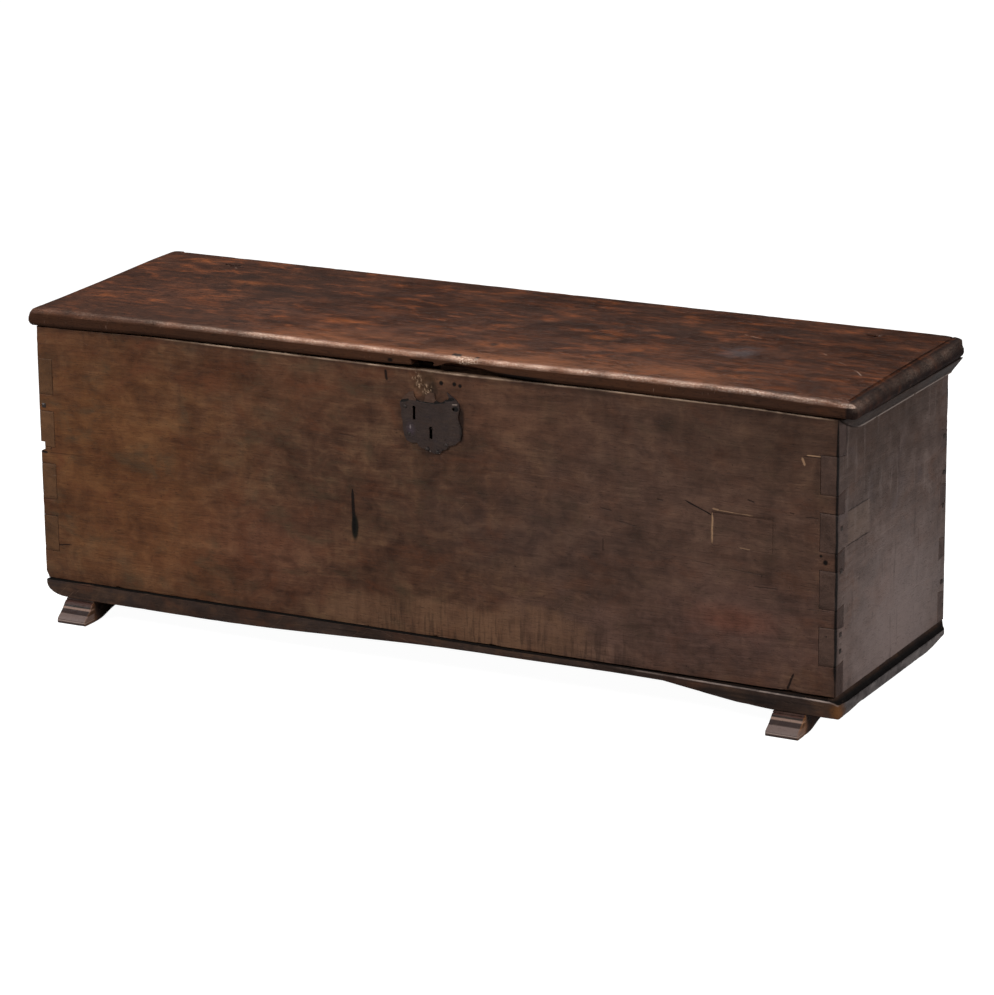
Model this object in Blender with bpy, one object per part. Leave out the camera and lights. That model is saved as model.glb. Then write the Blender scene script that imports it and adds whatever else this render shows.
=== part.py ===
"""Dovetailed wooden storage chest with a hinged plank lid, a plate lock and two runner feet.

Metres, +Z up, front towards -Y. The origin is on the floor, under the middle of the chest.
Places inside the case are given from the front board's middle (x), its outer face (y, going
back) and its lower edge (z); the function at() turns them into places in the chest's frame.
"""

import math

import bmesh
import bpy
from mathutils import Matrix, Vector

# Case of four dovetailed boards
CASE_LENGTH = 1.500
CASE_DEPTH = 0.463
CASE_HEIGHT = 0.456
WALL = 0.030
CORNER_WEAR = 0.003
GAP = 0.0003

# Dovetails, with the tails on the end boards
TAIL_COUNT = 4
TAIL_WIDTH = CASE_HEIGHT * 0.140
PIN_WIDTH = CASE_HEIGHT * 0.066
TOP_PIN = CASE_HEIGHT * 0.132
TAIL_SLOPE = 1 / 7

# Chip broken out of the front left corner
CHIP_HEIGHT = 0.0187
CHIP_LOW = CASE_HEIGHT * 0.499
CHIP_WIDTH = 0.011
CHIP_DEPTH = 0.020
LOW_CORNER_WEAR = 0.006

# Lid board, moulded on its front and both ends
LID_THICKNESS = 0.030
LID_OVER_LEFT = 0.0145
LID_OVER_RIGHT = 0.0315
LID_OVER_FRONT = 0.007
LID_OVER_BACK = 0.004
LID_CROWN = 0.0025
LID_CORNER = 0.010
LID_BACK_CORNER = 0.014
LID_NARROWING = 0.003
MOULDING_WIDTH = 0.0212
MOULDING_STEP = 0.002

# Worn hollow along the lid's lower front edge, and the empty seat of the lost hasp
WORN_STATIONS = ((-0.360, 0.0), (-0.065, 0.0035), (0.035, 0.0080), (0.110, 0.0080), (0.165, 0.0035),
    (0.290, 0.0))
WORN_END_LENGTH = 0.200
WORN_END_RISE = 0.0035
WORN_DEPTH = 0.018
HASP_SEAT_LEFT = -0.006
HASP_SEAT_WIDTH = 0.041
HASP_SEAT_RISE = 0.014
HASP_SEAT_DEPTH = 0.036

# Cleats nailed under the lid, outside the end boards
CLEAT_CLEARANCE = 0.0006
CLEAT_DROP = 0.0285
CLEAT_TOP_RIGHT = 0.0235
CLEAT_TOP_LEFT = 0.0100
CLEAT_FOOT = 0.0040
CLEAT_LIP = 0.003
CLEAT_NOSE = 0.086
CLEAT_NOSE_SHARE = 0.12
CLEAT_FRONT_RIGHT = 0.005
CLEAT_FRONT_LEFT = 0.036
CLEAT_NAIL_IN = 0.0040
CLEAT_NAIL_RADIUS = 0.0015
CLEAT_NAIL_BORE = 0.0019
CLEAT_NAIL_HEAD = 0.0034

# Bottom board
BASE_THICK_LEFT = 0.0285
BASE_THICK_RIGHT = 0.0325
BASE_OVER_FRONT = 0.008
BASE_OVER_RIGHT = 0.0095
BASE_SHORT_LEFT = 0.007
BASE_TAPER_HALF = CASE_LENGTH * 0.4
BASE_EDGE = 0.003
LEFT_ROUND_LENGTH = 0.043
LEFT_ROUND_HEIGHT = 0.022
BACK_CORNER_ROUND = 0.026

# Hollow under the bottom board's front edge
HOLLOW_RISE = 0.0177
HOLLOW_START = CASE_LENGTH * -0.280
HOLLOW_FULL = CASE_LENGTH * 0.087
HOLLOW_FALL = CASE_LENGTH * 0.287
HOLLOW_END = CASE_LENGTH * 0.433
HOLLOW_FLAT = 0.047
HOLLOW_REACH = 0.112

# Open joint between the bottom board and the walls
JOINT_FRONT_DROP = 0.0085
JOINT_FRONT_DEPTH = 0.010
JOINT_END_DROP = 0.0120
JOINT_END_DEPTH = 0.014
JOINT_END_RUN = 0.030

# Runners with a moulded toe at each end
RUNNER_WIDTH = 0.057
RUNNER_HEIGHT_RIGHT = 0.034
RUNNER_IN = 0.0755
RUNNER_MIDDLE = CASE_LENGTH / 2 - RUNNER_IN
TOE_REACH = 0.0385
TOE_LEDGE = 0.0085
TOE_FACE = 0.0085
TOE_BEAD = 0.0035
TOE_CONTACT = -0.004
ARCH_RISE = 0.014
ARCH_RUN = CASE_DEPTH * 0.160

# Repair let into the front board
PATCH_LEFT = CASE_LENGTH / 2 - 0.2166
PATCH_LOW = CASE_HEIGHT * 0.4936
PATCH_LENGTH = 0.1060
PATCH_HEIGHT = 0.0548
PATCH_DEPTH = 0.006

# Lock
PLATE_THICKNESS = 0.002
PLATE_DROP = 0.0985
PLATE_MIDDLE = (0.025, CASE_HEIGHT - PLATE_DROP)
KEY_X = 0.026
KEY_Z = PLATE_MIDDLE[1] + 0.001
KEYHOLE_RADIUS = 0.0038
KEYHOLE_WIDTH = 0.0058
KEYHOLE_DROP = 0.0170
STAPLE_X = -0.0050
STAPLE_TOP = PLATE_MIDDLE[1] + 0.0338
STAPLE_RADIUS = 0.0032
STAPLE_WIDTH = 0.0050
STAPLE_DROP = 0.0207
EMPTY_HOLE = (0.0684, PLATE_MIDDLE[1] + 0.0388)
EMPTY_HOLE_RADIUS = 0.0026
EMPTY_HOLE_DEPTH = 0.012
BOLT_Z = PLATE_MIDDLE[1] + 0.0235
BOLT_HEIGHT = 0.016
BOLT_THICKNESS = 0.005
BOLT_LENGTH = 0.060
BOLT_BACK_FROM_SLOT = 0.0011
BOLT_THROW = 0.012
TALON_DEPTH = 0.0035
TALON_WIDTH = 0.004
TALON_SPREAD = 0.0065
STRAP = 0.0018
STRAP_WIDTH = 0.0045
CAP_HALF = 0.0195
CAP_DEPTH = 0.0150
CAP_HEIGHT = 0.008
KEY_PIN_RADIUS = 0.0016
POCKET_DEPTH = 0.018
POCKET_MARGIN = 0.0050
SPRING_THICKNESS = 0.0012
SPRING_BOW = 0.0045
SLIDE_GAP = 0.0004

# Hinges: pairs of linked split-pin eyes
HINGE_LEFT = 0.1496 - CASE_LENGTH / 2
HINGE_RIGHT = CASE_LENGTH / 2 - 0.1108
EYE_RADIUS = 0.0065
WIRE_RADIUS = 0.0015
HINGE_BEHIND_LID = 0.014
LID_PIN_EXIT = 0.057
CASE_PIN_ANGLE = math.radians(35)
PIN_BORE = 0.0036
CLENCH = 0.012

# Wrought nails
NAIL_RADIUS = 0.0024
NAIL_BORE = 0.0028
NAIL_HEAD = 0.0055
NAIL_HEAD_RISE = 0.0018
CORNER_NAIL_IN = 0.016
CORNER_NAIL_LENGTH = 0.055
BOTTOM_NAIL_LENGTH = 0.052
RUNNER_NAIL_BITE = 0.018
CLEAT_NAIL_BITE = 0.020
PLATE_NAIL_RADIUS = 0.0012
PLATE_NAIL_BORE = 0.0016
PLATE_NAIL_HEAD = 0.0033
PLATE_NAIL_LENGTH = 0.018

# Nail places as shares of the case's height, length and depth
CORNER_NAILS = {
    ("right", "front"): (0.606, 0.453, 0.223, 0.162),
    ("right", "back"): (0.707, 0.570, 0.445, 0.153),
    ("left", "front"): (0.606, 0.162),
    ("left", "back"): (0.707, 0.153),
}
FRONT_FACE_NAIL = 0.684
BOTTOM_NAILS = (-0.380, -0.127, 0.127, 0.380)
RUNNER_NAILS = (0.302, 0.698)
CLEAT_NAILS = (0.302, 0.648, 0.929)
FRONT_FACE_NAIL_IN = 0.0108
BOTTOM_NAIL_IN = 0.015

# Nails that hold the lock plate, from its middle
PLATE_NAILS = ((-0.0390, -0.0115), (-0.0060, -0.0340), (0.0130, -0.0370), (-0.0460, 0.0345),
    (0.0300, -0.0230))

# Hammered outline of the lock plate, from its lower tip up the right side, about its middle
PLATE_OUTLINE = (
    (0.0074, -0.0405), (0.0168, -0.0394), (0.0206, -0.0345), (0.0300, -0.0305), (0.0348, -0.0243),
    (0.0460, -0.0209), (0.0554, -0.0125), (0.0582, -0.0012), (0.0576, 0.0080), (0.0545, 0.0153),
    (0.0515, 0.0225), (0.0519, 0.0302), (0.0547, 0.0398), (0.0537, 0.0490), (0.0480, 0.0559),
    (0.0398, 0.0609), (0.0315, 0.0664), (0.0352, 0.0580), (0.0344, 0.0535), (0.0290, 0.0535),
    (0.0240, 0.0488), (0.0182, 0.0471), (0.0125, 0.0492), (0.0095, 0.0526), (0.0078, 0.0615),
    (0.0007, 0.0624), (-0.0078, 0.0572), (-0.0098, 0.0487), (-0.0155, 0.0445), (-0.0239, 0.0470),
    (-0.0294, 0.0523), (-0.0315, 0.0616), (-0.0387, 0.0597), (-0.0482, 0.0510), (-0.0562, 0.0408),
    (-0.0560, 0.0340), (-0.0536, 0.0283), (-0.0541, 0.0198), (-0.0520, 0.0098), (-0.0511, -0.0037),
    (-0.0489, -0.0154), (-0.0443, -0.0234), (-0.0365, -0.0264), (-0.0252, -0.0254), (-0.0206, -0.0313),
    (-0.0140, -0.0345), (-0.0037, -0.0363),
)

# Places that follow from the sizes
BASE_TOP = RUNNER_HEIGHT_RIGHT + GAP + BASE_THICK_RIGHT
CASE_BOTTOM = BASE_TOP + GAP
CASE_MIDDLE = (LID_OVER_LEFT - LID_OVER_RIGHT) / 2
HALF = CASE_LENGTH / 2
LID_BOTTOM = CASE_HEIGHT + GAP
BOLT_LEFT = STAPLE_X + STAPLE_RADIUS + BOLT_BACK_FROM_SLOT
POCKET_LEFT = BOLT_LEFT - BOLT_THROW - POCKET_MARGIN * 0.7
BOLT_RIGHT = BOLT_LEFT + BOLT_LENGTH
POCKET_RIGHT = BOLT_RIGHT + POCKET_MARGIN
HINGE_Y = CASE_DEPTH + LID_OVER_BACK + HINGE_BEHIND_LID
LEG_HALF = WIRE_RADIUS * 1.07
OVERCUT = 0.010


def at(x, y, z):
    """A place in the chest's frame from one given inside the case."""
    return Vector((CASE_MIDDLE + x, y - CASE_DEPTH / 2, CASE_BOTTOM + z))


def at_origin():
    """The place inside the case that is the origin of the chest's frame."""
    return tuple(-at(0, 0, 0))


def finish(name, color, roughness, metallic=0.0):
    made = bpy.data.materials.new(name)
    made.use_nodes = True
    shader = made.node_tree.nodes["Principled BSDF"]
    shader.inputs["Base Color"].default_value = (*color, 1)
    shader.inputs["Roughness"].default_value = roughness
    shader.inputs["Metallic"].default_value = metallic
    made.diffuse_color = (*color, 1)
    return made


def new_collection(name):
    made = bpy.data.collections.new(name)
    bpy.context.scene.collection.children.link(made)
    return made


def add_object(name, data, look, parent=None):
    """Puts a mesh or curve in the chest, or among the cutters when it has no look."""
    made = bpy.data.objects.new(name, data)
    if look is None:
        CUTTERS.objects.link(made)
        made.hide_render = True
        made.display_type = "WIRE"
    else:
        data.materials.append(look)
        CHEST.objects.link(made)
    if parent is not None:
        made.parent = parent
        made.matrix_parent_inverse = parent.matrix_world.inverted()
    return made


def add_mesh(name, bm, look, parent=None, smooth=False):
    bmesh.ops.recalc_face_normals(bm, faces=bm.faces)
    mesh = bpy.data.meshes.new(name)
    bm.to_mesh(mesh)
    bm.free()
    if smooth:
        mesh.shade_smooth()
        mesh.set_sharp_from_angle(angle=math.radians(35))
    return add_object(name, mesh, look, parent)


def add_block(bm, low, high):
    """Adds a box between two places inside the case, and gives back its corners."""
    low, high = at(*low), at(*high)
    made = bmesh.ops.create_cube(bm, size=1.0)["verts"]
    bmesh.ops.scale(bm, verts=made, vec=high - low)
    bmesh.ops.translate(bm, verts=made, vec=(low + high) / 2)
    return made


def add_outline(bm, outline, axis, start, end):
    """Extrudes a flat outline, given in the two axes other than the named one."""
    order = {"x": lambda a, b, c: (c, a, b), "y": lambda a, b, c: (a, c, b),
        "z": lambda a, b, c: (a, b, c)}[axis]
    near = [bm.verts.new(at(*order(a, b, start))) for a, b in outline]
    face = bm.faces.new(near)
    made = bmesh.ops.extrude_face_region(bm, geom=[face])["geom"]
    far = [item for item in made if isinstance(item, bmesh.types.BMVert)]
    bmesh.ops.translate(bm, verts=far, vec=at(*order(0, 0, end)) - at(*order(0, 0, start)))
    return near + far


def add_loft(bm, rings):
    """Skins a row of closed rings that have the same number of points."""
    loops = [[bm.verts.new(at(*point)) for point in ring] for ring in rings]
    count = len(loops[0])
    for lower, upper in zip(loops, loops[1:]):
        for i in range(count):
            j = (i + 1) % count
            bm.faces.new((lower[i], lower[j], upper[j], upper[i]))
    bm.faces.new(reversed(loops[0]))
    bm.faces.new(loops[-1])


def add_turned(bm, place, direction, profile, sides):
    """Spins a profile of (radius, distance) pairs about a line from a place inside the case."""
    turned = bmesh.new()
    start = math.pi / sides
    line = [turned.verts.new((r * math.cos(start), r * math.sin(start), d)) for r, d in profile]
    for pair in zip(line, line[1:]):
        turned.edges.new(pair)
    bmesh.ops.spin(
        turned, geom=turned.verts[:] + turned.edges[:], cent=(0, 0, 0), axis=(0, 0, 1),
        angle=math.tau, steps=sides, use_merge=True,
    )
    bmesh.ops.remove_doubles(turned, verts=turned.verts, dist=1e-6)
    turn = Vector(direction).to_track_quat("Z", "Y").to_matrix().to_4x4()
    bmesh.ops.transform(turned, matrix=Matrix.Translation(at(*place)) @ turn, verts=turned.verts)
    mesh = bpy.data.meshes.new("turned")
    turned.to_mesh(mesh)
    turned.free()
    bm.from_mesh(mesh)
    bpy.data.meshes.remove(mesh)


def soften(bm, verts, axis, places, radius, segments=2):
    """Rounds the edges that run along an axis at the given places of the two other axes."""
    others = [i for i in range(3) if i != "xyz".index(axis)]
    wanted = [at(*place) for place in places]
    edges = []
    for edge in {e for v in verts for e in v.link_edges}:
        a, b = edge.verts
        if abs((b.co - a.co).normalized()["xyz".index(axis)]) < 0.999:
            continue
        if any(all(abs(a.co[i] - w[i]) < 1e-5 for i in others) for w in wanted):
            edges.append(edge)
    bmesh.ops.bevel(
        bm, geom=edges, offset=radius, offset_type="OFFSET", segments=segments,
        profile=0.5, affect="EDGES", clamp_overlap=True, material=-1,
    )


def cut(target, cutter, operation="DIFFERENCE"):
    change = target.modifiers.new(cutter.name, "BOOLEAN")
    change.operation = operation
    change.solver = "EXACT"
    change.object = cutter


def smooth_step(t):
    t = min(max(t, 0.0), 1.0)
    return t * t * (3 - 2 * t)


def arc(centre, radius, start, end, steps):
    """Points on a circle between two angles in degrees, both ends included."""
    angles = [math.radians(start + (end - start) * i / steps) for i in range(steps + 1)]
    return [(centre[0] + radius * math.cos(a), centre[1] + radius * math.sin(a)) for a in angles]


def tail_lows():
    """Lower edges of the tails at the outer face, from the top one down."""
    top = CASE_HEIGHT - TOP_PIN
    return [top - TAIL_WIDTH - i * (TAIL_WIDTH + PIN_WIDTH) for i in range(TAIL_COUNT)]


def end_outline():
    """Side view of an end board: its tails reach both outer faces."""
    narrowing = TAIL_SLOPE * WALL
    shoulder = WALL + GAP
    front, back = [(shoulder, 0.0)], [(CASE_DEPTH - shoulder, CASE_HEIGHT)]
    for low in reversed(tail_lows()):
        high = low + TAIL_WIDTH
        front += [(shoulder, low + narrowing), (0.0, low), (0.0, high), (shoulder, high - narrowing)]
    front.append((shoulder, CASE_HEIGHT))
    for low in tail_lows():
        high = low + TAIL_WIDTH
        edge = CASE_DEPTH - shoulder
        back += [(edge, high - narrowing), (CASE_DEPTH, high), (CASE_DEPTH, low), (edge, low + narrowing)]
    back.append((CASE_DEPTH - shoulder, 0.0))
    return front + back


def tail_sockets(name, outer, inner):
    """Cuts the spaces for both end boards' tails out of a long board."""
    bm = bmesh.new()
    narrowing = TAIL_SLOPE * WALL
    into = 1 if inner > outer else -1
    for low in tail_lows():
        high = low + TAIL_WIDTH
        grow = narrowing * OVERCUT / WALL
        mouth = [
            (outer - into * OVERCUT, low - GAP - grow), (outer - into * OVERCUT, high + GAP + grow),
            (inner + into * OVERCUT, high + GAP - narrowing - grow),
            (inner + into * OVERCUT, low - GAP + narrowing + grow),
        ]
        add_outline(bm, mouth, "x", -HALF - OVERCUT, -HALF + WALL + GAP)
        add_outline(bm, mouth, "x", HALF - WALL - GAP, HALF + OVERCUT)
    return add_mesh(name, bm, None)


def corner_nail_rows():
    """Place and direction of each nail driven through a corner from an end face."""
    rows = []
    for (side, face), heights in CORNER_NAILS.items():
        x, inward = (HALF, -1) if side == "right" else (-HALF, 1)
        y = CORNER_NAIL_IN if face == "front" else CASE_DEPTH - CORNER_NAIL_IN
        rows += [((x, y, CASE_HEIGHT * share), (inward, 0, 0)) for share in heights]
    rows.append(((-HALF + FRONT_FACE_NAIL_IN, 0.0, CASE_HEIGHT * FRONT_FACE_NAIL), (0, 1, 0)))
    return rows


def nail_profile(length, radius=NAIL_RADIUS, head=NAIL_HEAD, rise=NAIL_HEAD_RISE):
    """Point, tapered shank and low faceted head, measured from the face the head sits on."""
    return [
        (0.0, length), (radius * 0.45, length - 0.004), (radius, 0.004), (radius, -GAP),
        (head, -GAP), (head * 0.92, -GAP - rise * 0.35), (head * 0.35, -GAP - rise), (0.0, -GAP - rise),
    ]


def bore_profile(length, radius=NAIL_BORE):
    return [(0.0, length + GAP * 2), (radius, length + GAP * 2), (radius, -OVERCUT / 2),
        (0.0, -OVERCUT / 2)]


def turned_mesh(name, profile, sides):
    bm = bmesh.new()
    add_turned(bm, at_origin(), (0, 0, 1), profile, sides)
    bmesh.ops.recalc_face_normals(bm, faces=bm.faces)
    mesh = bpy.data.meshes.new(name)
    bm.to_mesh(mesh)
    bm.free()
    mesh.materials.append(IRON)
    return mesh


def add_nails(name, rows, parent, sides=4, **sizes):
    """Drives one nail for each row; the nails of one kind share a mesh."""
    mesh = turned_mesh(name, nail_profile(rows[0][2], **sizes), sides)
    for number, (place, direction, _) in enumerate(rows, 1):
        nail = bpy.data.objects.new(f"{name}_{number}", mesh)
        CHEST.objects.link(nail)
        nail.parent = parent
        nail.matrix_parent_inverse = parent.matrix_world.inverted()
        turn = Vector(direction).to_track_quat("Z", "Y").to_matrix().to_4x4()
        nail.matrix_basis = Matrix.Translation(at(*place)) @ turn


def nail_bores(name, rows, sides=4, radius=NAIL_BORE):
    bm = bmesh.new()
    for place, direction, length in rows:
        add_turned(bm, place, direction, bore_profile(length, radius), sides)
    return add_mesh(name, bm, None)


def base_underside(x):
    """Height of the bottom board's underside, which is thicker at the right end."""
    share = min(max((x + BASE_TAPER_HALF) / (2 * BASE_TAPER_HALF), 0.0), 1.0)
    return -GAP - BASE_THICK_LEFT - (BASE_THICK_RIGHT - BASE_THICK_LEFT) * share


def hollow_rise(x):
    """How far the front edge's underside is hollowed at one place along it."""
    rising = smooth_step((x - HOLLOW_START) / (HOLLOW_FULL - HOLLOW_START))
    falling = 1 - smooth_step((x - HOLLOW_FALL) / (HOLLOW_END - HOLLOW_FALL))
    return HOLLOW_RISE * rising * falling


def lid_rise(y):
    """How far the lid's top stands up in the middle of its depth."""
    middle = (CASE_DEPTH + LID_OVER_BACK - LID_OVER_FRONT) / 2
    half = (CASE_DEPTH + LID_OVER_BACK + LID_OVER_FRONT) / 2
    return LID_CROWN * max(0.0, 1 - ((y - middle) / half) ** 2)


# Case

def make_front_board():
    bm = bmesh.new()
    corners = add_block(bm, (-HALF, 0, 0), (HALF, WALL, CASE_HEIGHT))
    soften(bm, corners, "z", [(-HALF, 0, 0), (HALF, 0, 0)], CORNER_WEAR)
    board = add_mesh("front_board", bm, CASE_WOOD, CASE)
    cut(board, tail_sockets("front_sockets", 0.0, WALL))
    cut(board, make_lock_pocket())
    cut(board, make_patch_seat())
    cut(board, CORNER_CHIP)
    cut(board, CASE_BORES)
    cut(board, EMPTY_NAIL_HOLE)
    cut(board, nail_bores("plate_nail_bores", plate_nail_rows(), 6, PLATE_NAIL_BORE))


def make_back_board():
    bm = bmesh.new()
    inner = CASE_DEPTH - WALL
    corners = add_block(bm, (-HALF, inner, 0), (HALF, CASE_DEPTH, CASE_HEIGHT))
    soften(bm, corners, "z", [(-HALF, CASE_DEPTH, 0), (HALF, CASE_DEPTH, 0)], CORNER_WEAR)
    board = add_mesh("back_board", bm, CASE_WOOD, CASE)
    cut(board, tail_sockets("back_sockets", CASE_DEPTH, inner))
    cut(board, CASE_BORES)
    cut(board, HINGE_BORES)


def make_end_board(name, outer, inner):
    bm = bmesh.new()
    corners = add_outline(bm, end_outline(), "x", min(outer, inner), max(outer, inner))
    soften(bm, corners, "z", [(outer, 0, 0), (outer, CASE_DEPTH, 0)], CORNER_WEAR)
    board = add_mesh(name, bm, CASE_WOOD, CASE)
    cut(board, CASE_BORES)
    if outer < 0:
        cut(board, CORNER_CHIP)


def make_corner_chip():
    """A broken-out chip that narrows as it goes back along the corner."""
    left, middle = -HALF - OVERCUT, -HALF + CHIP_WIDTH
    high, slant = CHIP_LOW + CHIP_HEIGHT, CHIP_HEIGHT * 0.15
    bm = bmesh.new()
    add_loft(bm, [
        [(left, -OVERCUT, CHIP_LOW), (middle, -OVERCUT, CHIP_LOW + slant), (middle, -OVERCUT, high),
         (left, -OVERCUT, high)],
        [(left, CHIP_DEPTH, CHIP_LOW), (middle - CHIP_WIDTH * 0.4, CHIP_DEPTH, CHIP_LOW + slant),
         (middle - CHIP_WIDTH * 0.4, CHIP_DEPTH, high), (left, CHIP_DEPTH, high)],
    ])
    worn = [
        (left, -OVERCUT), (-HALF + LOW_CORNER_WEAR * 1.2, -OVERCUT),
        (-HALF + LOW_CORNER_WEAR, LOW_CORNER_WEAR * 0.6),
        (-HALF + LOW_CORNER_WEAR * 0.3, LOW_CORNER_WEAR * 1.8), (left, LOW_CORNER_WEAR * 4),
    ]
    add_outline(bm, worn, "y", -OVERCUT, CHIP_DEPTH)
    return add_mesh("corner_chip", bm, None)


def make_patch_seat():
    bm = bmesh.new()
    add_block(
        bm, (PATCH_LEFT, -OVERCUT, PATCH_LOW),
        (PATCH_LEFT + PATCH_LENGTH, PATCH_DEPTH, PATCH_LOW + PATCH_HEIGHT)
    )
    return add_mesh("patch_seat", bm, None)


def make_front_patch():
    bm = bmesh.new()
    add_block(
        bm, (PATCH_LEFT + GAP, 0.0, PATCH_LOW + GAP),
        (PATCH_LEFT + PATCH_LENGTH - GAP, PATCH_DEPTH - GAP, PATCH_LOW + PATCH_HEIGHT - GAP),
    )
    add_mesh("front_patch", bm, CASE_WOOD, CASE)


# Bottom board and runners

def base_outline():
    """Front view of the bottom board, with the worn round under its left end."""
    left, right = -HALF + BASE_SHORT_LEFT, HALF + BASE_OVER_RIGHT
    low = base_underside(left)
    centre = (left + LEFT_ROUND_LENGTH, low + LEFT_ROUND_HEIGHT)
    steps = 6
    round_end = []
    for i in range(steps + 1):
        angle = math.pi + math.pi / 2 * i / steps
        round_end.append((
            centre[0] + LEFT_ROUND_LENGTH * math.cos(angle),
            centre[1] + LEFT_ROUND_HEIGHT * math.sin(angle),
        ))
    return [(left, -GAP), *round_end, (-BASE_TAPER_HALF, low), (BASE_TAPER_HALF, base_underside(right)),
            (right, base_underside(right)), (right, -GAP)]


def make_base_hollow():
    """The long shallow hollow under the front edge, fading out towards the back."""
    front = -BASE_OVER_FRONT
    stations = 16
    rings = []
    for i in range(stations + 1):
        x = HOLLOW_START + (HOLLOW_END - HOLLOW_START) * i / stations
        low, rise = base_underside(x), hollow_rise(x)
        rings.append([
            (x, front - OVERCUT, low - OVERCUT), (x, front - OVERCUT, low + rise),
            (x, front + HOLLOW_FLAT, low + rise), (x, front + HOLLOW_REACH, low - GAP),
            (x, front + HOLLOW_REACH, low - OVERCUT),
        ])
    bm = bmesh.new()
    add_loft(bm, rings)
    return add_mesh("base_hollow", bm, None)


def make_bottom_board():
    right, top = HALF + BASE_OVER_RIGHT, -GAP
    bm = bmesh.new()
    corners = add_outline(bm, base_outline(), "y", -BASE_OVER_FRONT, CASE_DEPTH)
    soften(bm, corners, "z", [(right, CASE_DEPTH, 0)], BACK_CORNER_ROUND, 5)
    soften(bm, bm.verts, "z", [(right, -BASE_OVER_FRONT, 0)], BASE_EDGE * 2, 3)
    soften(bm, bm.verts, "x", [(0, -BASE_OVER_FRONT, top)], BASE_EDGE)
    board = add_mesh("bottom_board", bm, BASE_WOOD, CASE)
    cut(board, make_base_hollow())
    bm = bmesh.new()
    add_outline(
        bm, [(0.0, OVERCUT), (right + OVERCUT, OVERCUT), (right + OVERCUT, top - JOINT_FRONT_DROP),
            (0.0, top)],
        "y", -BASE_OVER_FRONT - OVERCUT, JOINT_FRONT_DEPTH,
    )
    cut(board, add_mesh("open_front_joint", bm, None))
    bm = bmesh.new()
    stations = ((-OVERCUT, JOINT_FRONT_DROP), (0.0, JOINT_FRONT_DROP), (JOINT_END_RUN, JOINT_END_DROP))
    stations += ((CASE_DEPTH + OVERCUT, JOINT_END_DROP),)
    add_loft(bm, [[
        (HALF - JOINT_END_DEPTH, y, top - drop), (right + OVERCUT, y, top - drop),
        (right + OVERCUT, y, top + OVERCUT), (HALF - JOINT_END_DEPTH, y, top + OVERCUT),
    ] for y, drop in stations])
    cut(board, add_mesh("open_end_joint", bm, None))
    cut(board, nail_bores("bottom_nail_bores", bottom_nail_rows()))
    cut(board, nail_bores("runner_nail_bores_above", runner_nail_rows()))


def bottom_nail_rows():
    rows = []
    for share in BOTTOM_NAILS:
        x = CASE_LENGTH * share
        low = base_underside(x)
        rows.append(((x, BOTTOM_NAIL_IN, low + hollow_rise(x) - GAP), (0, 0, 1), BOTTOM_NAIL_LENGTH))
        rows.append(((x, CASE_DEPTH - BOTTOM_NAIL_IN, low - GAP), (0, 0, 1), BOTTOM_NAIL_LENGTH))
    return rows


def runner_outline(top):
    """Side view of a runner: a moulded toe at each end and a long arch between them."""
    floor = -CASE_BOTTOM
    drop = top - TOE_BEAD * 2 - floor - TOE_FACE
    reach = TOE_REACH - TOE_LEDGE
    toe = [
        (0.004, top), (-TOE_LEDGE, top), (-TOE_LEDGE - 0.0005, top - TOE_BEAD * 0.8),
        (-TOE_LEDGE + 0.0012, top - TOE_BEAD),
        (-TOE_LEDGE - 0.0030, top - TOE_BEAD * 1.2), (-TOE_LEDGE - 0.0055, top - TOE_BEAD * 1.9),
    ]
    for share, fall in ((0.30, 0.18), (0.48, 0.45), (0.68, 0.68), (0.88, 0.87), (0.97, 1.0)):
        toe.append((-TOE_LEDGE - reach * share, top - TOE_BEAD * 2 - drop * fall))
    toe += [(-TOE_REACH, floor + TOE_FACE * 0.65), (-TOE_REACH, floor + 0.0015),
        (-TOE_REACH + 0.0015, floor)]
    arch = []
    steps = 6
    for i in range(steps + 1):
        y = TOE_CONTACT + ARCH_RUN * i / steps
        arch.append((y, floor + ARCH_RISE * (1 - math.cos(math.pi * i / steps)) / 2))
    half = toe + arch
    return half + [(CASE_DEPTH - y, z) for y, z in reversed(half)]


def make_runner(name, middle):
    top = base_underside(middle) - GAP
    bm = bmesh.new()
    add_outline(bm, runner_outline(top), "x", middle - RUNNER_WIDTH / 2, middle + RUNNER_WIDTH / 2)
    runner = add_mesh(name, bm, RUNNER_WOOD, CASE)
    cut(runner, nail_bores(name + "_bores", [row for row in runner_nail_rows() if row[0][0] * middle > 0]))


def runner_nail_rows():
    low = ARCH_RISE - CASE_BOTTOM
    return [
        ((x, y, low), (0, 0, 1), base_underside(RUNNER_MIDDLE) - low + RUNNER_NAIL_BITE)
        for x in (-RUNNER_MIDDLE, RUNNER_MIDDLE) for y in (CASE_DEPTH * share for share in RUNNER_NAILS)
    ]


# Lid

def lid_profile():
    """Moulded edge as (distance in from the edge, height), from the underside to the field."""
    t, w = LID_THICKNESS, MOULDING_WIDTH
    low_field = t - MOULDING_STEP
    return [
        (0.0120, 0.0), (0.0060, 0.0012), (0.0020, 0.0045), (0.0, 0.0095), (0.0004, 0.0155),
        (0.0030, t - 0.0088), (0.0080, t - 0.0048), (0.0145, low_field - 0.0005),
        (w - 0.0008, low_field), (w, t),
    ]


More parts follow.
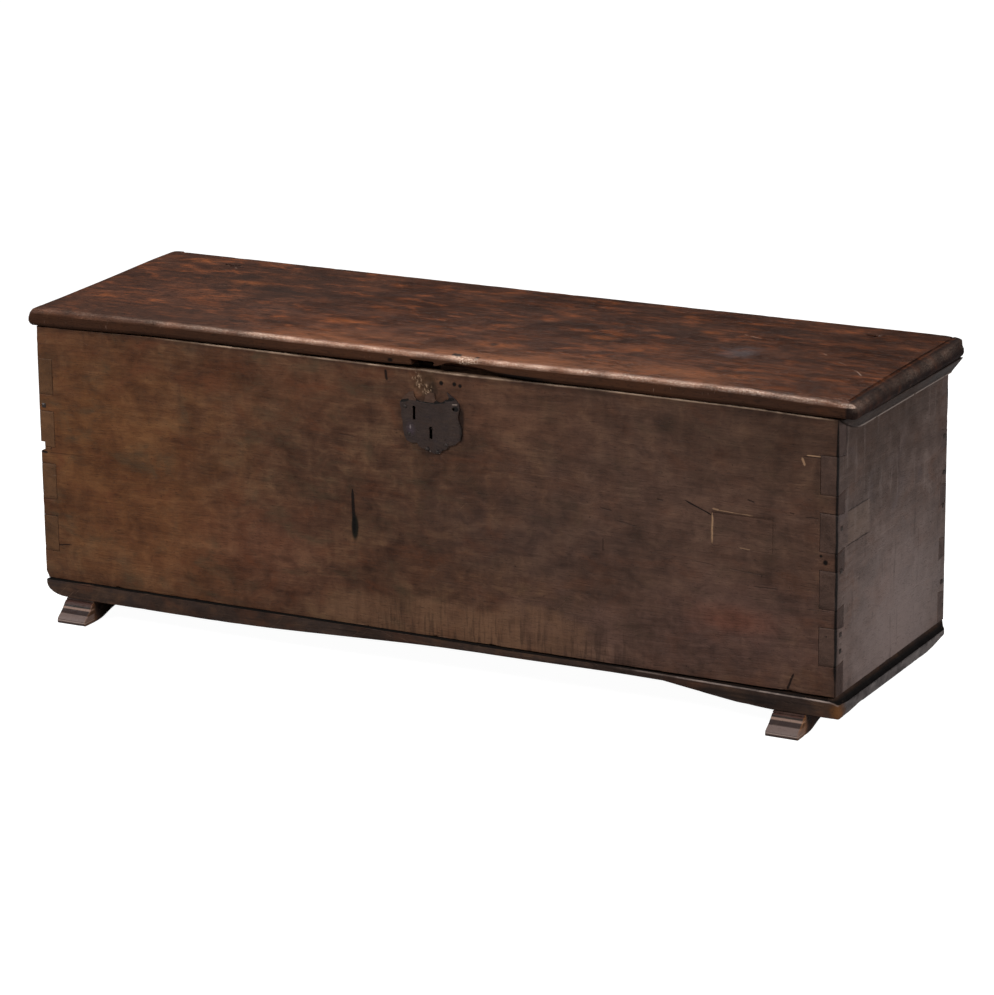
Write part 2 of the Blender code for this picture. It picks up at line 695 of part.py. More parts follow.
def lid_ring(inset, height):
    left = -HALF - LID_OVER_LEFT + inset
    right = HALF + LID_OVER_RIGHT - inset
    front, back = -LID_OVER_FRONT + inset, CASE_DEPTH + LID_OVER_BACK
    radius, back_radius = max(LID_CORNER - inset, 0.0012), LID_BACK_CORNER
    back_right = right - LID_NARROWING
    plan = arc((left + back_radius, back - back_radius), back_radius, 90, 180, 5)
    plan += arc((left + radius, front + radius), radius, 180, 270, 4)
    plan += arc((right - radius, front + radius), radius, 270, 360, 4)
    plan += arc((back_right - back_radius, back - back_radius), back_radius, 0, 90, 5)
    return [(x, y, LID_BOTTOM + height) for x, y in plan]


def make_lid_board():
    bm = bmesh.new()
    add_loft(bm, [lid_ring(inset, height) for inset, height in lid_profile()])
    cuts = 8
    for i in range(1, cuts):
        y = at(0, -LID_OVER_FRONT + (CASE_DEPTH + LID_OVER_FRONT + LID_OVER_BACK) * i / cuts, 0).y
        bmesh.ops.bisect_plane(bm, geom=bm.verts[:] + bm.edges[:] + bm.faces[:], plane_co=(0, y, 0),
            plane_no=(0, 1, 0))
    underside = at(0, 0, LID_BOTTOM).z
    for v in bm.verts:
        v.co.z += lid_rise(v.co.y + CASE_DEPTH / 2) * (v.co.z - underside) / LID_THICKNESS
    lid = add_mesh("lid_board", bm, LID_WOOD, LID, smooth=True)
    cut(lid, make_worn_hollow())
    bm = bmesh.new()
    add_block(
        bm, (HASP_SEAT_LEFT, -LID_OVER_FRONT - OVERCUT, LID_BOTTOM - OVERCUT),
        (HASP_SEAT_LEFT + HASP_SEAT_WIDTH, -LID_OVER_FRONT + HASP_SEAT_DEPTH, LID_BOTTOM + HASP_SEAT_RISE),
    )
    cut(lid, add_mesh("hasp_seat", bm, None))
    cut(lid, HINGE_BORES)
    cut(lid, make_clench_grooves())
    cut(lid, nail_bores("cleat_nail_bores_above", cleat_nail_rows(), 4, CLEAT_NAIL_BORE))


def make_worn_hollow():
    """Wear along the lower front edge: a long hollow in the middle and a lift at the right."""
    end = HALF + LID_OVER_RIGHT + OVERCUT
    middle = [(x, LID_BOTTOM + rise) for x, rise in WORN_STATIONS]
    right = [(HALF - WORN_END_LENGTH, LID_BOTTOM), (HALF, LID_BOTTOM + WORN_END_RISE),
        (end, LID_BOTTOM + WORN_END_RISE)]
    bm = bmesh.new()
    for line in (middle, right):
        below = [(line[-1][0], LID_BOTTOM - OVERCUT), (line[0][0], LID_BOTTOM - OVERCUT)]
        add_outline(bm, line + below, "y", -LID_OVER_FRONT - OVERCUT, WORN_DEPTH)
    return add_mesh("worn_hollow", bm, None)


def cleat_places():
    """Name, inner face, width at the top, way out and front end of each cleat."""
    inner = HALF + CLEAT_CLEARANCE
    return (
        ("right_cleat", inner, CLEAT_TOP_RIGHT, 1, CLEAT_FRONT_RIGHT),
        ("left_cleat", -inner, CLEAT_TOP_LEFT, -1, CLEAT_FRONT_LEFT),
    )


def make_cleats():
    for name, inner, top_width, out, front in cleat_places():
        high = LID_BOTTOM - GAP
        back = CASE_DEPTH - 0.002
        foot = min(CLEAT_FOOT, top_width / 2)
        rings = []
        steps = 6
        places = [front + CLEAT_NOSE * i / steps for i in range(steps + 1)] + [back]
        for y in places:
            t = min((y - front) / CLEAT_NOSE, 1.0)
            drop = CLEAT_DROP * (CLEAT_NOSE_SHARE + (1 - CLEAT_NOSE_SHARE) * math.sin(math.pi / 2 * t))
            lip = min(CLEAT_LIP, drop / 3)
            slope_width = top_width - foot
            wide = foot + slope_width * (drop - lip) / (CLEAT_DROP - CLEAT_LIP)
            outer = inner + out * max(wide, foot + 0.001)
            rings.append([
                (inner, y, high), (inner, y, high - drop), (inner + out * foot, y, high - drop),
                (inner + out * (foot + 0.0012), y, high - drop + lip), (outer, y, high - 0.0012),
                (outer, y, high),
            ])
        bm = bmesh.new()
        add_loft(bm, rings)
        cleat = add_mesh(name, bm, LID_WOOD, LID)
        cut(cleat, make_cleat_bores(name, out))


def cleat_nail_rows():
    rows = []
    for _, inner, _, out, _ in cleat_places():
        x = inner + out * CLEAT_NAIL_IN
        length = cleat_seat_depth() + CLEAT_NAIL_BITE
        rows += [((x, CASE_DEPTH * share, cleat_seat_z()), (0, 0, 1), length) for share in CLEAT_NAILS]
    return rows


def cleat_seat_z():
    return LID_BOTTOM - cleat_seat_depth()


def cleat_seat_depth():
    """How much of the cleat stays above a sunk nail head."""
    return CLEAT_DROP * 0.4


def make_cleat_bores(name, out):
    """Nail holes with a sunk seat for each head, open towards the floor."""
    bm = bmesh.new()
    seat = CLEAT_NAIL_HEAD + GAP * 2
    for (x, y, z), direction, length in cleat_nail_rows():
        if x * out < 0:
            continue
        profile = [
            (0.0, length), (CLEAT_NAIL_BORE, length), (CLEAT_NAIL_BORE, 0.0), (seat, 0.0),
            (seat, -CLEAT_DROP),
            (0.0, -CLEAT_DROP),
        ]
        add_turned(bm, (x, y, z), direction, profile, 4)
    return add_mesh(name + "_bores", bm, None)


# Hinges

def hinge_axis_point(x):
    return Vector((x, HINGE_Y, LID_BOTTOM))


def pin_directions():
    """Ways the lid's pin and the case's pin leave the joint."""
    exit_y = CASE_DEPTH - LID_PIN_EXIT
    lid_way = Vector((0, exit_y - HINGE_Y, LID_THICKNESS + lid_rise(exit_y))).normalized()
    case_way = Vector((0, -math.cos(CASE_PIN_ANGLE), -math.sin(CASE_PIN_ANGLE)))
    return lid_way, case_way


def eye_line(centre, along, across, leg):
    """A split pin: an eye, two legs side by side, and their ends bent flat either way."""
    opening = math.asin(LEG_HALF / EYE_RADIUS)
    steps = 16
    bend = Vector((1, 0, 0))
    turned = []
    for i in range(steps + 1):
        angle = opening + (math.tau - 2 * opening) * i / steps
        turned.append(
            centre + along * (EYE_RADIUS * math.cos(angle)) + across * (EYE_RADIUS * math.sin(angle)))
    tip = centre + along * leg
    bent = WIRE_RADIUS * 2.2
    near, far = tip + across * LEG_HALF, tip - across * LEG_HALF
    start = [near + bend * CLENCH, near + bend * bent, near - along * bent]
    end = [far - along * bent, far - bend * bent, far - bend * CLENCH]
    return start + turned + end


def add_wire(name, points, parent):
    curve = bpy.data.curves.new(name, "CURVE")
    curve.dimensions = "3D"
    curve.bevel_depth = WIRE_RADIUS
    curve.bevel_resolution = 2
    curve.use_fill_caps = True
    spline = curve.splines.new("POLY")
    spline.points.add(len(points) - 1)
    for point, place in zip(spline.points, points):
        point.co = (*at(*place), 1)
    add_object(name, curve, IRON, parent)


def pin_lengths():
    """Leg lengths from the eyes' centres to the bend, for the lid's and the case's pin."""
    lid_way, case_way = pin_directions()
    exit_y = CASE_DEPTH - LID_PIN_EXIT
    lid_run = (HINGE_Y - exit_y) / -lid_way.y
    inside = HINGE_Y - CASE_DEPTH + WALL + WIRE_RADIUS + LEG_HALF * math.sin(CASE_PIN_ANGLE) + GAP * 4
    return lid_run - 2 * WIRE_RADIUS - EYE_RADIUS, inside / -case_way.y


def make_hinges():
    lid_way, case_way = pin_directions()
    lid_leg, case_leg = pin_lengths()
    sideways = Vector((1, 0, 0))
    case_across = Vector((0, case_way.z, -case_way.y))
    for side, x in (("left", HINGE_LEFT), ("right", HINGE_RIGHT)):
        axis_point = hinge_axis_point(x)
        lid_centre = axis_point + lid_way * EYE_RADIUS
        add_wire(side + "_lid_eye", eye_line(lid_centre, lid_way, sideways, lid_leg), LID)
        add_wire(side + "_case_eye", eye_line(axis_point, case_way, case_across, case_leg), CASE)


def make_hinge_bores():
    lid_way, case_way = pin_directions()
    bm = bmesh.new()
    for x in (HINGE_LEFT, HINGE_RIGHT):
        axis_point = hinge_axis_point(x)
        reach = LID_PIN_EXIT + LID_THICKNESS + HINGE_BEHIND_LID
        start = EYE_RADIUS * 1.5
        add_turned(bm, axis_point + lid_way * start, lid_way, [(0, reach), (PIN_BORE, reach),
            (PIN_BORE, 0), (0, 0)], 12)
        reach = WALL * 2
        start = EYE_RADIUS * 1.6
        add_turned(bm, axis_point + case_way * start, case_way, [(0, reach), (PIN_BORE, reach),
            (PIN_BORE, 0), (0, 0)], 12)
    return add_mesh("hinge_bores", bm, None)


def make_clench_grooves():
    """Grooves in the lid's top that take the bent ends of the lid's pins."""
    exit_y = CASE_DEPTH - LID_PIN_EXIT
    half_length = CLENCH + WIRE_RADIUS * 2 + 0.001
    half_width = WIRE_RADIUS + 0.0012
    bm = bmesh.new()
    for x in (HINGE_LEFT, HINGE_RIGHT):
        bend_y = exit_y + 2 * WIRE_RADIUS
        bend_z = LID_BOTTOM + LID_THICKNESS + lid_rise(exit_y) - WIRE_RADIUS * 2.6
        add_block(
            bm, (x - half_length, bend_y - half_width, bend_z),
            (x + half_length, bend_y + half_width + 0.001, LID_BOTTOM + LID_THICKNESS + OVERCUT),
        )
    return add_mesh("clench_grooves", bm, None)


# Lock

def plate_nail_rows():
    middle_x, middle_z = PLATE_MIDDLE
    face = -GAP - PLATE_THICKNESS
    return [((middle_x + x, face, middle_z + z), (0, 1, 0), PLATE_NAIL_LENGTH) for x, z in PLATE_NAILS]


def keyhole_outline(x, z, radius, width, drop):
    """A round top with a straight slot hanging from it."""
    half = width / 2
    turn = math.degrees(math.asin(half / radius))
    outline = arc((x, z), radius, -90 + turn, 270 - turn, 10)
    return outline + [(x - half, z - drop), (x + half, z - drop)]


def make_lock_plate():
    bm = bmesh.new()
    outline = [(PLATE_MIDDLE[0] + x, PLATE_MIDDLE[1] + z) for x, z in PLATE_OUTLINE]
    add_outline(bm, outline, "y", -GAP - PLATE_THICKNESS, -GAP)
    plate = add_mesh("lock_plate", bm, IRON, CASE)
    front, back = -PLATE_THICKNESS - OVERCUT, OVERCUT
    bm = bmesh.new()
    add_outline(bm, keyhole_outline(KEY_X, KEY_Z, KEYHOLE_RADIUS, KEYHOLE_WIDTH, KEYHOLE_DROP),
        "y", front, back)
    add_outline(bm, keyhole_outline(STAPLE_X, STAPLE_TOP, STAPLE_RADIUS, STAPLE_WIDTH, STAPLE_DROP),
        "y", front, back)
    cut(plate, add_mesh("plate_openings", bm, None))
    cut(plate, EMPTY_NAIL_HOLE)
    cut(plate, nail_bores("plate_bores", plate_nail_rows(), 6, PLATE_NAIL_BORE))


def make_empty_nail_hole():
    bm = bmesh.new()
    depth = EMPTY_HOLE_DEPTH
    profile = [(0, depth), (EMPTY_HOLE_RADIUS * 0.6, depth), (EMPTY_HOLE_RADIUS, 0),
        (EMPTY_HOLE_RADIUS, -OVERCUT), (0, -OVERCUT)]
    add_turned(bm, (EMPTY_HOLE[0], 0.0, EMPTY_HOLE[1]), (0, 1, 0), profile, 8)
    return add_mesh("empty_nail_hole", bm, None)


def make_lock_pocket():
    """Hollow behind the plate: a channel for the bolt and a chamber for the key."""
    channel_low = BOLT_Z - BOLT_HEIGHT / 2 - POCKET_MARGIN
    channel_high = STAPLE_TOP + STAPLE_RADIUS + POCKET_MARGIN
    chamber_half = CAP_HALF + POCKET_MARGIN
    chamber_low = KEY_Z - KEYHOLE_DROP - POCKET_MARGIN
    outline = [
        (POCKET_LEFT, channel_low), (KEY_X - chamber_half, channel_low),
        (KEY_X - chamber_half, chamber_low),
        (KEY_X + chamber_half, chamber_low), (KEY_X + chamber_half, channel_low),
        (POCKET_RIGHT, channel_low),
        (POCKET_RIGHT, channel_high), (POCKET_LEFT, channel_high),
    ]
    bm = bmesh.new()
    add_outline(bm, outline, "y", -OVERCUT, POCKET_DEPTH)
    return add_mesh("lock_pocket", bm, None)


def make_lock_bolt():
    """A flat bolt with two talons that the key's bit pushes on."""
    low, high = BOLT_Z - BOLT_HEIGHT / 2, BOLT_Z + BOLT_HEIGHT / 2
    lower_edge = []
    notch = KEY_X + BOLT_THROW / 2
    for middle in (notch - TALON_SPREAD, notch + TALON_SPREAD):
        lower_edge += [
            (middle - TALON_WIDTH / 2, low), (middle - TALON_WIDTH / 2 + 0.001, low - TALON_DEPTH),
            (middle + TALON_WIDTH / 2 - 0.001, low - TALON_DEPTH), (middle + TALON_WIDTH / 2, low),
        ]
    outline = [(BOLT_LEFT, low + 0.002), (BOLT_LEFT + 0.002, low), *lower_edge, (BOLT_RIGHT, low),
        (BOLT_RIGHT, high),
               (BOLT_LEFT + 0.002, high), (BOLT_LEFT, high - 0.002)]
    bm = bmesh.new()
    add_outline(bm, outline, "y", 0.0, BOLT_THICKNESS)
    add_mesh("lock_bolt", bm, IRON, BOLT)


def guide_places():
    """Middles of the two staples that the bolt slides through."""
    return (BOLT_LEFT + BOLT_THROW * 0.70, BOLT_RIGHT - BOLT_THROW * 0.70)


def make_bolt_guides():
    """Two straps riveted to the plate, open towards it, that the bolt runs through."""
    inner_low = BOLT_Z - BOLT_HEIGHT / 2 - SLIDE_GAP
    inner_high = BOLT_Z + BOLT_HEIGHT / 2 + SLIDE_GAP
    depth = BOLT_THICKNESS + SLIDE_GAP
    outline = [
        (0.0, inner_low - STRAP), (depth + STRAP, inner_low - STRAP), (depth + STRAP, inner_high + STRAP),
        (0.0, inner_high + STRAP), (0.0, inner_high), (depth, inner_high), (depth, inner_low),
        (0.0, inner_low),
    ]
    for side, x in zip(("left", "right"), guide_places()):
        bm = bmesh.new()
        add_outline(bm, outline, "x", x - STRAP_WIDTH / 2, x + STRAP_WIDTH / 2)
        add_mesh(side + "_bolt_guide", bm, IRON, CASE)


def make_bolt_spring():
    """A bowed leaf between the guides that presses on the bolt's upper edge."""
    left, right = (x + side * (STRAP_WIDTH / 2 + 0.001) for x, side in zip(guide_places(), (1, -1)))
    high = BOLT_Z + BOLT_HEIGHT / 2 + GAP
    steps = 8
    lower = []
    for i in range(steps + 1):
        t = i / steps
        lower.append((left + (right - left) * t, high + SPRING_BOW * (1 - math.cos(math.tau * t)) / 2))
    upper = [(x, z + SPRING_THICKNESS) for x, z in reversed(lower)]
    bm = bmesh.new()
    add_outline(bm, lower + upper, "y", 0.0, BOLT_THICKNESS)
    add_mesh("bolt_spring", bm, IRON, CASE)


def make_key_cap():
    """A bridge behind the keyhole that carries the pin the key turns on."""
    outline = [
        (KEY_X - CAP_HALF, 0.0), (KEY_X - CAP_HALF, CAP_DEPTH), (KEY_X + CAP_HALF, CAP_DEPTH),
        (KEY_X + CAP_HALF, 0.0),
        (KEY_X + CAP_HALF - STRAP, 0.0), (KEY_X + CAP_HALF - STRAP, CAP_DEPTH - STRAP),
        (KEY_X - CAP_HALF + STRAP, CAP_DEPTH - STRAP), (KEY_X - CAP_HALF + STRAP, 0.0),
    ]
    bm = bmesh.new()
    add_outline(bm, outline, "z", KEY_Z - CAP_HEIGHT / 2, KEY_Z + CAP_HEIGHT / 2)
    add_mesh("key_cap", bm, IRON, CASE)
    bm = bmesh.new()
    length = CAP_DEPTH - STRAP - GAP
    profile = [(0, length), (KEY_PIN_RADIUS, length), (KEY_PIN_RADIUS, 0.001), (KEY_PIN_RADIUS * 0.5, 0),
        (0, 0)]
    add_turned(bm, (KEY_X, 0.0, KEY_Z), (0, 1, 0), profile, 8)
    add_mesh("key_pin", bm, IRON, CASE, smooth=True)


# Chest

for old in list(bpy.data.objects):
    bpy.data.objects.remove(old)

CHEST = new_collection("storage_chest")
CUTTERS = new_collection("cutters")
CUTTERS.hide_render = True

CASE_WOOD = finish("case_wood", (0.115, 0.070, 0.042), 0.55)
LID_WOOD = finish("lid_wood", (0.130, 0.055, 0.030), 0.40)
BASE_WOOD = finish("base_wood", (0.060, 0.035, 0.024), 0.60)
RUNNER_WOOD = finish("runner_wood", (0.085, 0.040, 0.026), 0.50)
IRON = finish("wrought_iron", (0.050, 0.042, 0.040), 0.55, 0.8)


def add_empty(name, place):
    made = bpy.data.objects.new(name, None)
    made.location = place
    CHEST.objects.link(made)
    return made


CASE = add_empty("case_frame", at(0, 0, 0))
LID = add_empty("lid_hinge", at(0, HINGE_Y, LID_BOTTOM))
BOLT = add_empty("bolt_track", at(BOLT_LEFT, BOLT_THICKNESS / 2, BOLT_Z))
bpy.context.view_layer.update()

CASE_NAILS = [(place, way, CORNER_NAIL_LENGTH) for place, way in corner_nail_rows()]
CASE_BORES = nail_bores("case_nail_bores", CASE_NAILS + bottom_nail_rows())
HINGE_BORES = make_hinge_bores()
CORNER_CHIP = make_corner_chip()
EMPTY_NAIL_HOLE = make_empty_nail_hole()

make_front_board()
make_back_board()
make_end_board("left_end_board", -HALF, -HALF + WALL)
make_end_board("right_end_board", HALF, HALF - WALL)
make_front_patch()
add_nails("corner_nail", CASE_NAILS, CASE)
make_bottom_board()
add_nails("bottom_nail", bottom_nail_rows(), CASE)
make_runner("left_runner", -RUNNER_MIDDLE)
make_runner("right_runner", RUNNER_MIDDLE)
add_nails("runner_nail", runner_nail_rows(), CASE)
make_lid_board()
make_cleats()
add_nails("cleat_nail", cleat_nail_rows(), LID, radius=CLEAT_NAIL_RADIUS, head=CLEAT_NAIL_HEAD)
make_hinges()
make_lock_plate()
add_nails("lock_plate_nail", plate_nail_rows(), CASE, 6, radius=PLATE_NAIL_RADIUS, head=PLATE_NAIL_HEAD)
make_lock_bolt()
make_bolt_guides()
make_bolt_spring()
make_key_cap()
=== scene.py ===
import math
import bmesh
import bpy
from mathutils import Matrix, Vector, noise


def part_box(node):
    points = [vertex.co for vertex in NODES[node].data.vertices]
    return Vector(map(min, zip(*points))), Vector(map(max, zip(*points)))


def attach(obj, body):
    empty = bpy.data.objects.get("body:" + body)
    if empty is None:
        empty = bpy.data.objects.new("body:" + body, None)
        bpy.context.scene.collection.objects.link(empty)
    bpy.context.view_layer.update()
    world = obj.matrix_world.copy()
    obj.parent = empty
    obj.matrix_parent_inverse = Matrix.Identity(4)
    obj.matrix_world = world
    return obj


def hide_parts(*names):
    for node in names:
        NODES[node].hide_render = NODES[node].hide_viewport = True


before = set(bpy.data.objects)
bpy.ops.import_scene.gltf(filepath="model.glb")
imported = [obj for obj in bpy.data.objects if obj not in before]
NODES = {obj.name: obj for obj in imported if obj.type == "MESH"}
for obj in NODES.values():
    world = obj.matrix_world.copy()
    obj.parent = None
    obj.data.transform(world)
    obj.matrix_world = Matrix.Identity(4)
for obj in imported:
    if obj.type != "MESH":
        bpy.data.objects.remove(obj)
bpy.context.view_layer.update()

FRONT_LOW, FRONT_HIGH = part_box("front_board")
END_LOW, END_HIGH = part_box("right_end_board")
LID_LOW, LID_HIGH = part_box("lid_board")
BASE_LOW, BASE_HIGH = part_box("bottom_board")
FRONT_MIDDLE = (FRONT_LOW.x + FRONT_HIGH.x) / 2
LID_THICKNESS = LID_HIGH.z - LID_LOW.z
# The bottom board's nose: its upper arris is level up to LEDGE_START and falls to LEDGE at the right.
NOSE = [v.co for v in NODES["bottom_board"].data.vertices if v.co.y < BASE_LOW.y + 0.001]
LEDGE = max(p.z for p in NOSE if p.x > 0.74)
LEDGE_START = max(p.x for p in NOSE if p.z > BASE_HIGH.z - 0.0003)
LEDGE_SLOPE = (BASE_HIGH.z - LEDGE) / (BASE_HIGH.x - LEDGE_START)

# Where a mark lies on a board, measured the way a restorer would write it down.


def on_front(across, height):
    """A point of the front face, from the board's middle and its lower edge."""
    return Vector((FRONT_MIDDLE + across, FRONT_LOW.y, FRONT_LOW.z + height))


def on_end(depth, height):
    """A point of the right end's face, from the front face and the lower edge."""
    return Vector((END_HIGH.x, END_LOW.y + depth, END_LOW.z + height))


def on_lid(across, depth):
    """A point of the lid's top, from the front board's middle and its front face."""
    return Vector((FRONT_MIDDLE + across, FRONT_LOW.y + depth, LID_HIGH.z))


def on_lid_edge(across, depth, height):
    """A point at the lid's front, from the front board's middle, the lid's front edge and its underside."""
    return Vector((FRONT_MIDDLE + across, LID_LOW.y + depth, LID_LOW.z + height))


# Shader helpers.


def add_node(tree, kind, inputs=None, **settings):
    made = tree.nodes.new(kind)
    for key, value in settings.items():
        setattr(made, key, value)
    for key, value in (inputs or {}).items():
        if isinstance(value, bpy.types.NodeSocket):
            tree.links.new(value, made.inputs[key])
        else:
            made.inputs[key].default_value = value
    return made


def calc(tree, operation, *values, clamp=False):
    return add_node(tree, "ShaderNodeMath", dict(enumerate(values)), operation=operation,
                    use_clamp=clamp).outputs[0]


def vector_calc(tree, operation, *values):
    made = add_node(tree, "ShaderNodeVectorMath", dict(enumerate(values)), operation=operation)
    return made.outputs["Value" if operation in ("LENGTH", "DOT_PRODUCT") else "Vector"]


def span(tree, value, low, high, to_low=0.0, to_high=1.0, smooth=True):
    return add_node(tree, "ShaderNodeMapRange", {
        "Value": value, "From Min": low, "From Max": high, "To Min": to_low, "To Max": to_high,
    }, interpolation_type="SMOOTHSTEP" if smooth else "LINEAR").outputs["Result"]


def tone(red, green, blue):
    """A linear colour from its 0 to 255 values as seen on a screen."""
    def linear(value):
        value /= 255
        return value / 12.92 if value <= 0.04045 else ((value + 0.055) / 1.055) ** 2.4
    return (linear(red), linear(green), linear(blue), 1.0)


def mix(tree, share, first, second):
    """Mixes two colours, each a socket or three values from 0 to 255 as seen on a screen."""
    made = add_node(tree, "ShaderNodeMix", data_type="RGBA")
    for socket, value in ((made.inputs[0], share), (made.inputs[6], first), (made.inputs[7], second)):
        if isinstance(value, bpy.types.NodeSocket):
            tree.links.new(value, socket)
        else:
            socket.default_value = tone(*value) if isinstance(value, tuple) else value
    return made.outputs[2]


def speckle(tree, place, scale, detail=3.0, roughness=0.55, distortion=0.0):
    """Noise from 0 to 1. A scale of three numbers stretches it."""
    if isinstance(scale, tuple):
        place, scale = vector_calc(tree, "MULTIPLY", place, scale), 1.0
    return add_node(tree, "ShaderNodeTexNoise", {
        "Vector": place, "Scale": scale, "Detail": detail, "Roughness": roughness, "Distortion": distortion,
    }).outputs["Fac"]


ORIGIN = (0.0, 0.0, 0.0)


def scaled(tree, vector, amount):
    made = add_node(tree, "ShaderNodeVectorMath", {0: vector, "Scale": amount}, operation="SCALE")
    return made.outputs["Vector"]


def new_material(name):
    material = bpy.data.materials.new(name)
    material.use_nodes = True
    return material, material.node_tree, material.node_tree.nodes["Principled BSDF"]


def feed(tree, shader, colour, rough, height, relief):
    """Links a surface to its shader; relief is the height's measure in metres."""
    bump = add_node(tree, "ShaderNodeBump", {"Height": height, "Distance": relief})
    for socket, source in (("Base Color", colour), ("Roughness", rough), ("Normal", bump.outputs["Normal"])):
        tree.links.new(source, shader.inputs[socket])


def start_group(name, inputs, outputs):
    """inputs and outputs map socket names to a default value, a vector's being a tuple of 3."""
    tree = bpy.data.node_groups.new(name, "ShaderNodeTree")
    kinds = {3: "NodeSocketVector", 4: "NodeSocketColor"}
    for side, sockets in (("INPUT", inputs), ("OUTPUT", outputs)):
        for socket_name, value in sockets.items():
            kind = "NodeSocketFloat" if isinstance(value, float) else kinds[len(value)]
            made = tree.interface.new_socket(socket_name, in_out=side, socket_type=kind)
            made.default_value = value
    return tree, tree.nodes.new("NodeGroupInput").outputs, tree.nodes.new("NodeGroupOutput").inputs


def place_group(tree, group, **values):
    made = tree.nodes.new("ShaderNodeGroup")
    made.node_tree = group
    for key, value in values.items():
        socket = made.inputs[key.replace("_", " ").capitalize()]
        if isinstance(value, bpy.types.NodeSocket):
            tree.links.new(value, socket)
        else:
            socket.default_value = value
    return made.outputs


# Shared patterns of old timber and iron. Place is in metres, with the grain along its X.


def make_grain():
    """Fibres, streaks and pores along the grain, rings of figure, and blotches, ripples and daubs of colour."""
    tree, give, take = start_group("plank_grain", {
        "Place": ORIGIN, "Seed": 0.0, "Figure pitch": 0.016,
    }, {"Fibre": 0.5, "Streak": 0.5, "Figure": 0.5, "Pores": 0.0, "Blotch": 0.5, "Chatter": 0.5, "Hue": 0.5,
        "Daub": 0.5})
    shift = add_node(tree, "ShaderNodeCombineXYZ", {"X": give["Seed"], "Y": give["Seed"], "Z": give["Seed"]})
    place = vector_calc(tree, "ADD", give["Place"], shift.outputs[0])
    sway = speckle(tree, place, (1.6, 7.0, 7.0), 2.0)
    sway = calc(tree, "MULTIPLY", calc(tree, "SUBTRACT", sway, 0.5), 0.045)
    bent = add_node(tree, "ShaderNodeCombineXYZ", {"Y": sway, "Z": sway}).outputs[0]
    bent = vector_calc(tree, "ADD", place, bent)

    def layer(name, scale, detail, roughness, low, high, source=bent, distortion=0.0):
        value = speckle(tree, source, scale, detail, roughness, distortion)
        tree.links.new(span(tree, value, low, high, smooth=False), take[name])

    layer("Fibre", (16.0, 420.0, 320.0), 3.0, 0.65, 0.3, 0.7)
    layer("Streak", (5.0, 95.0, 60.0), 4.0, 0.65, 0.3, 0.7)
    layer("Pores", (90.0, 760.0, 760.0), 1.0, 0.5, 0.62, 0.72)
    layer("Blotch", (7.0, 12.0, 12.0), 7.0, 0.64, 0.3, 0.7, place, 0.4)
    layer("Chatter", (60.0, 10.0, 10.0), 5.0, 0.62, 0.32, 0.68, place, 0.3)
    aside = vector_calc(tree, "ADD", place, (7.0, 3.0, 5.0))
    layer("Hue", (12.0, 18.0, 18.0), 6.0, 0.62, 0.3, 0.7, aside, 0.6)
    layer("Daub", (25.0, 34.0, 34.0), 6.0, 0.64, 0.32, 0.68, place, 0.7)
    across = add_node(tree, "ShaderNodeSeparateXYZ", {"Vector": bent}).outputs
    bow = speckle(tree, place, (1.1, 3.2, 3.2), 2.0)
    rings = calc(tree, "MULTIPLY_ADD", bow, 0.22, across["Y"])
    rings = calc(tree, "FRACT", calc(tree, "DIVIDE", rings, give["Figure pitch"]))
    rings = calc(tree, "MULTIPLY", span(tree, rings, 0.0, 0.72), span(tree, rings, 1.0, 0.8))
    tree.links.new(rings, take["Figure"])
    return tree


def make_scuffs():
    """Fine scratches in two directions, worm holes and small knocks."""
    tree, give, take = start_group("scuffs", {"Place": ORIGIN, "Seed": 0.0},
                                   {"Scratches": 0.0, "Holes": 0.0, "Specks": 0.0})
    shift = add_node(tree, "ShaderNodeCombineXYZ", {"X": give["Seed"], "Y": give["Seed"]})
    place = vector_calc(tree, "ADD", give["Place"], shift.outputs[0])
    where = speckle(tree, place, 6.0, 3.0)
    total = None
    for angle, length, width, low, high in ((0.35, 26.0, 620.0, 0.52, 0.64), (-0.75, 22.0, 560.0, 0.48, 0.36)):
        turned = add_node(tree, "ShaderNodeVectorRotate", {"Vector": place, "Angle": angle},
                          rotation_type="Z_AXIS").outputs[0]
        lines = speckle(tree, turned, (length, width, 60.0), 1.0)
        lines = calc(tree, "MULTIPLY", span(tree, lines, 0.7, 0.76), span(tree, where, low, high))
        total = lines if total is None else calc(tree, "MAXIMUM", total, lines)
    tree.links.new(total, take["Scratches"])
    cells = add_node(tree, "ShaderNodeTexVoronoi", {"Vector": place, "Scale": 40.0, "Randomness": 1.0})
    holes = calc(tree, "MULTIPLY", span(tree, cells.outputs["Distance"], 0.05, 0.03),
                 span(tree, where, 0.58, 0.62))
    tree.links.new(holes, take["Holes"])
    specks = speckle(tree, place, 210.0, 2.0)
    tree.links.new(span(tree, specks, 0.68, 0.76), take["Specks"])
    return tree


def make_spot():
    """An oval stain round Centre. Rag is a noise value that makes its rim ragged."""
    tree, give, take = start_group("spot", {
        "Place": ORIGIN, "Centre": ORIGIN, "Radius": (0.1, 0.1, 0.1),
        "Softness": 0.5, "Raggedness": 0.3, "Rag": 0.5,
    }, {"Mask": 0.0})
    away = vector_calc(tree, "SUBTRACT", give["Place"], give["Centre"])
    away = vector_calc(tree, "LENGTH", vector_calc(tree, "DIVIDE", away, give["Radius"]))
    rim = calc(tree, "MULTIPLY", calc(tree, "SUBTRACT", give["Rag"], 0.5), give["Raggedness"])
    away = calc(tree, "MULTIPLY_ADD", rim, 2.0, away)
    tree.links.new(span(tree, away, 1.0, calc(tree, "SUBTRACT", 1.0, give["Softness"])), take["Mask"])
    return tree


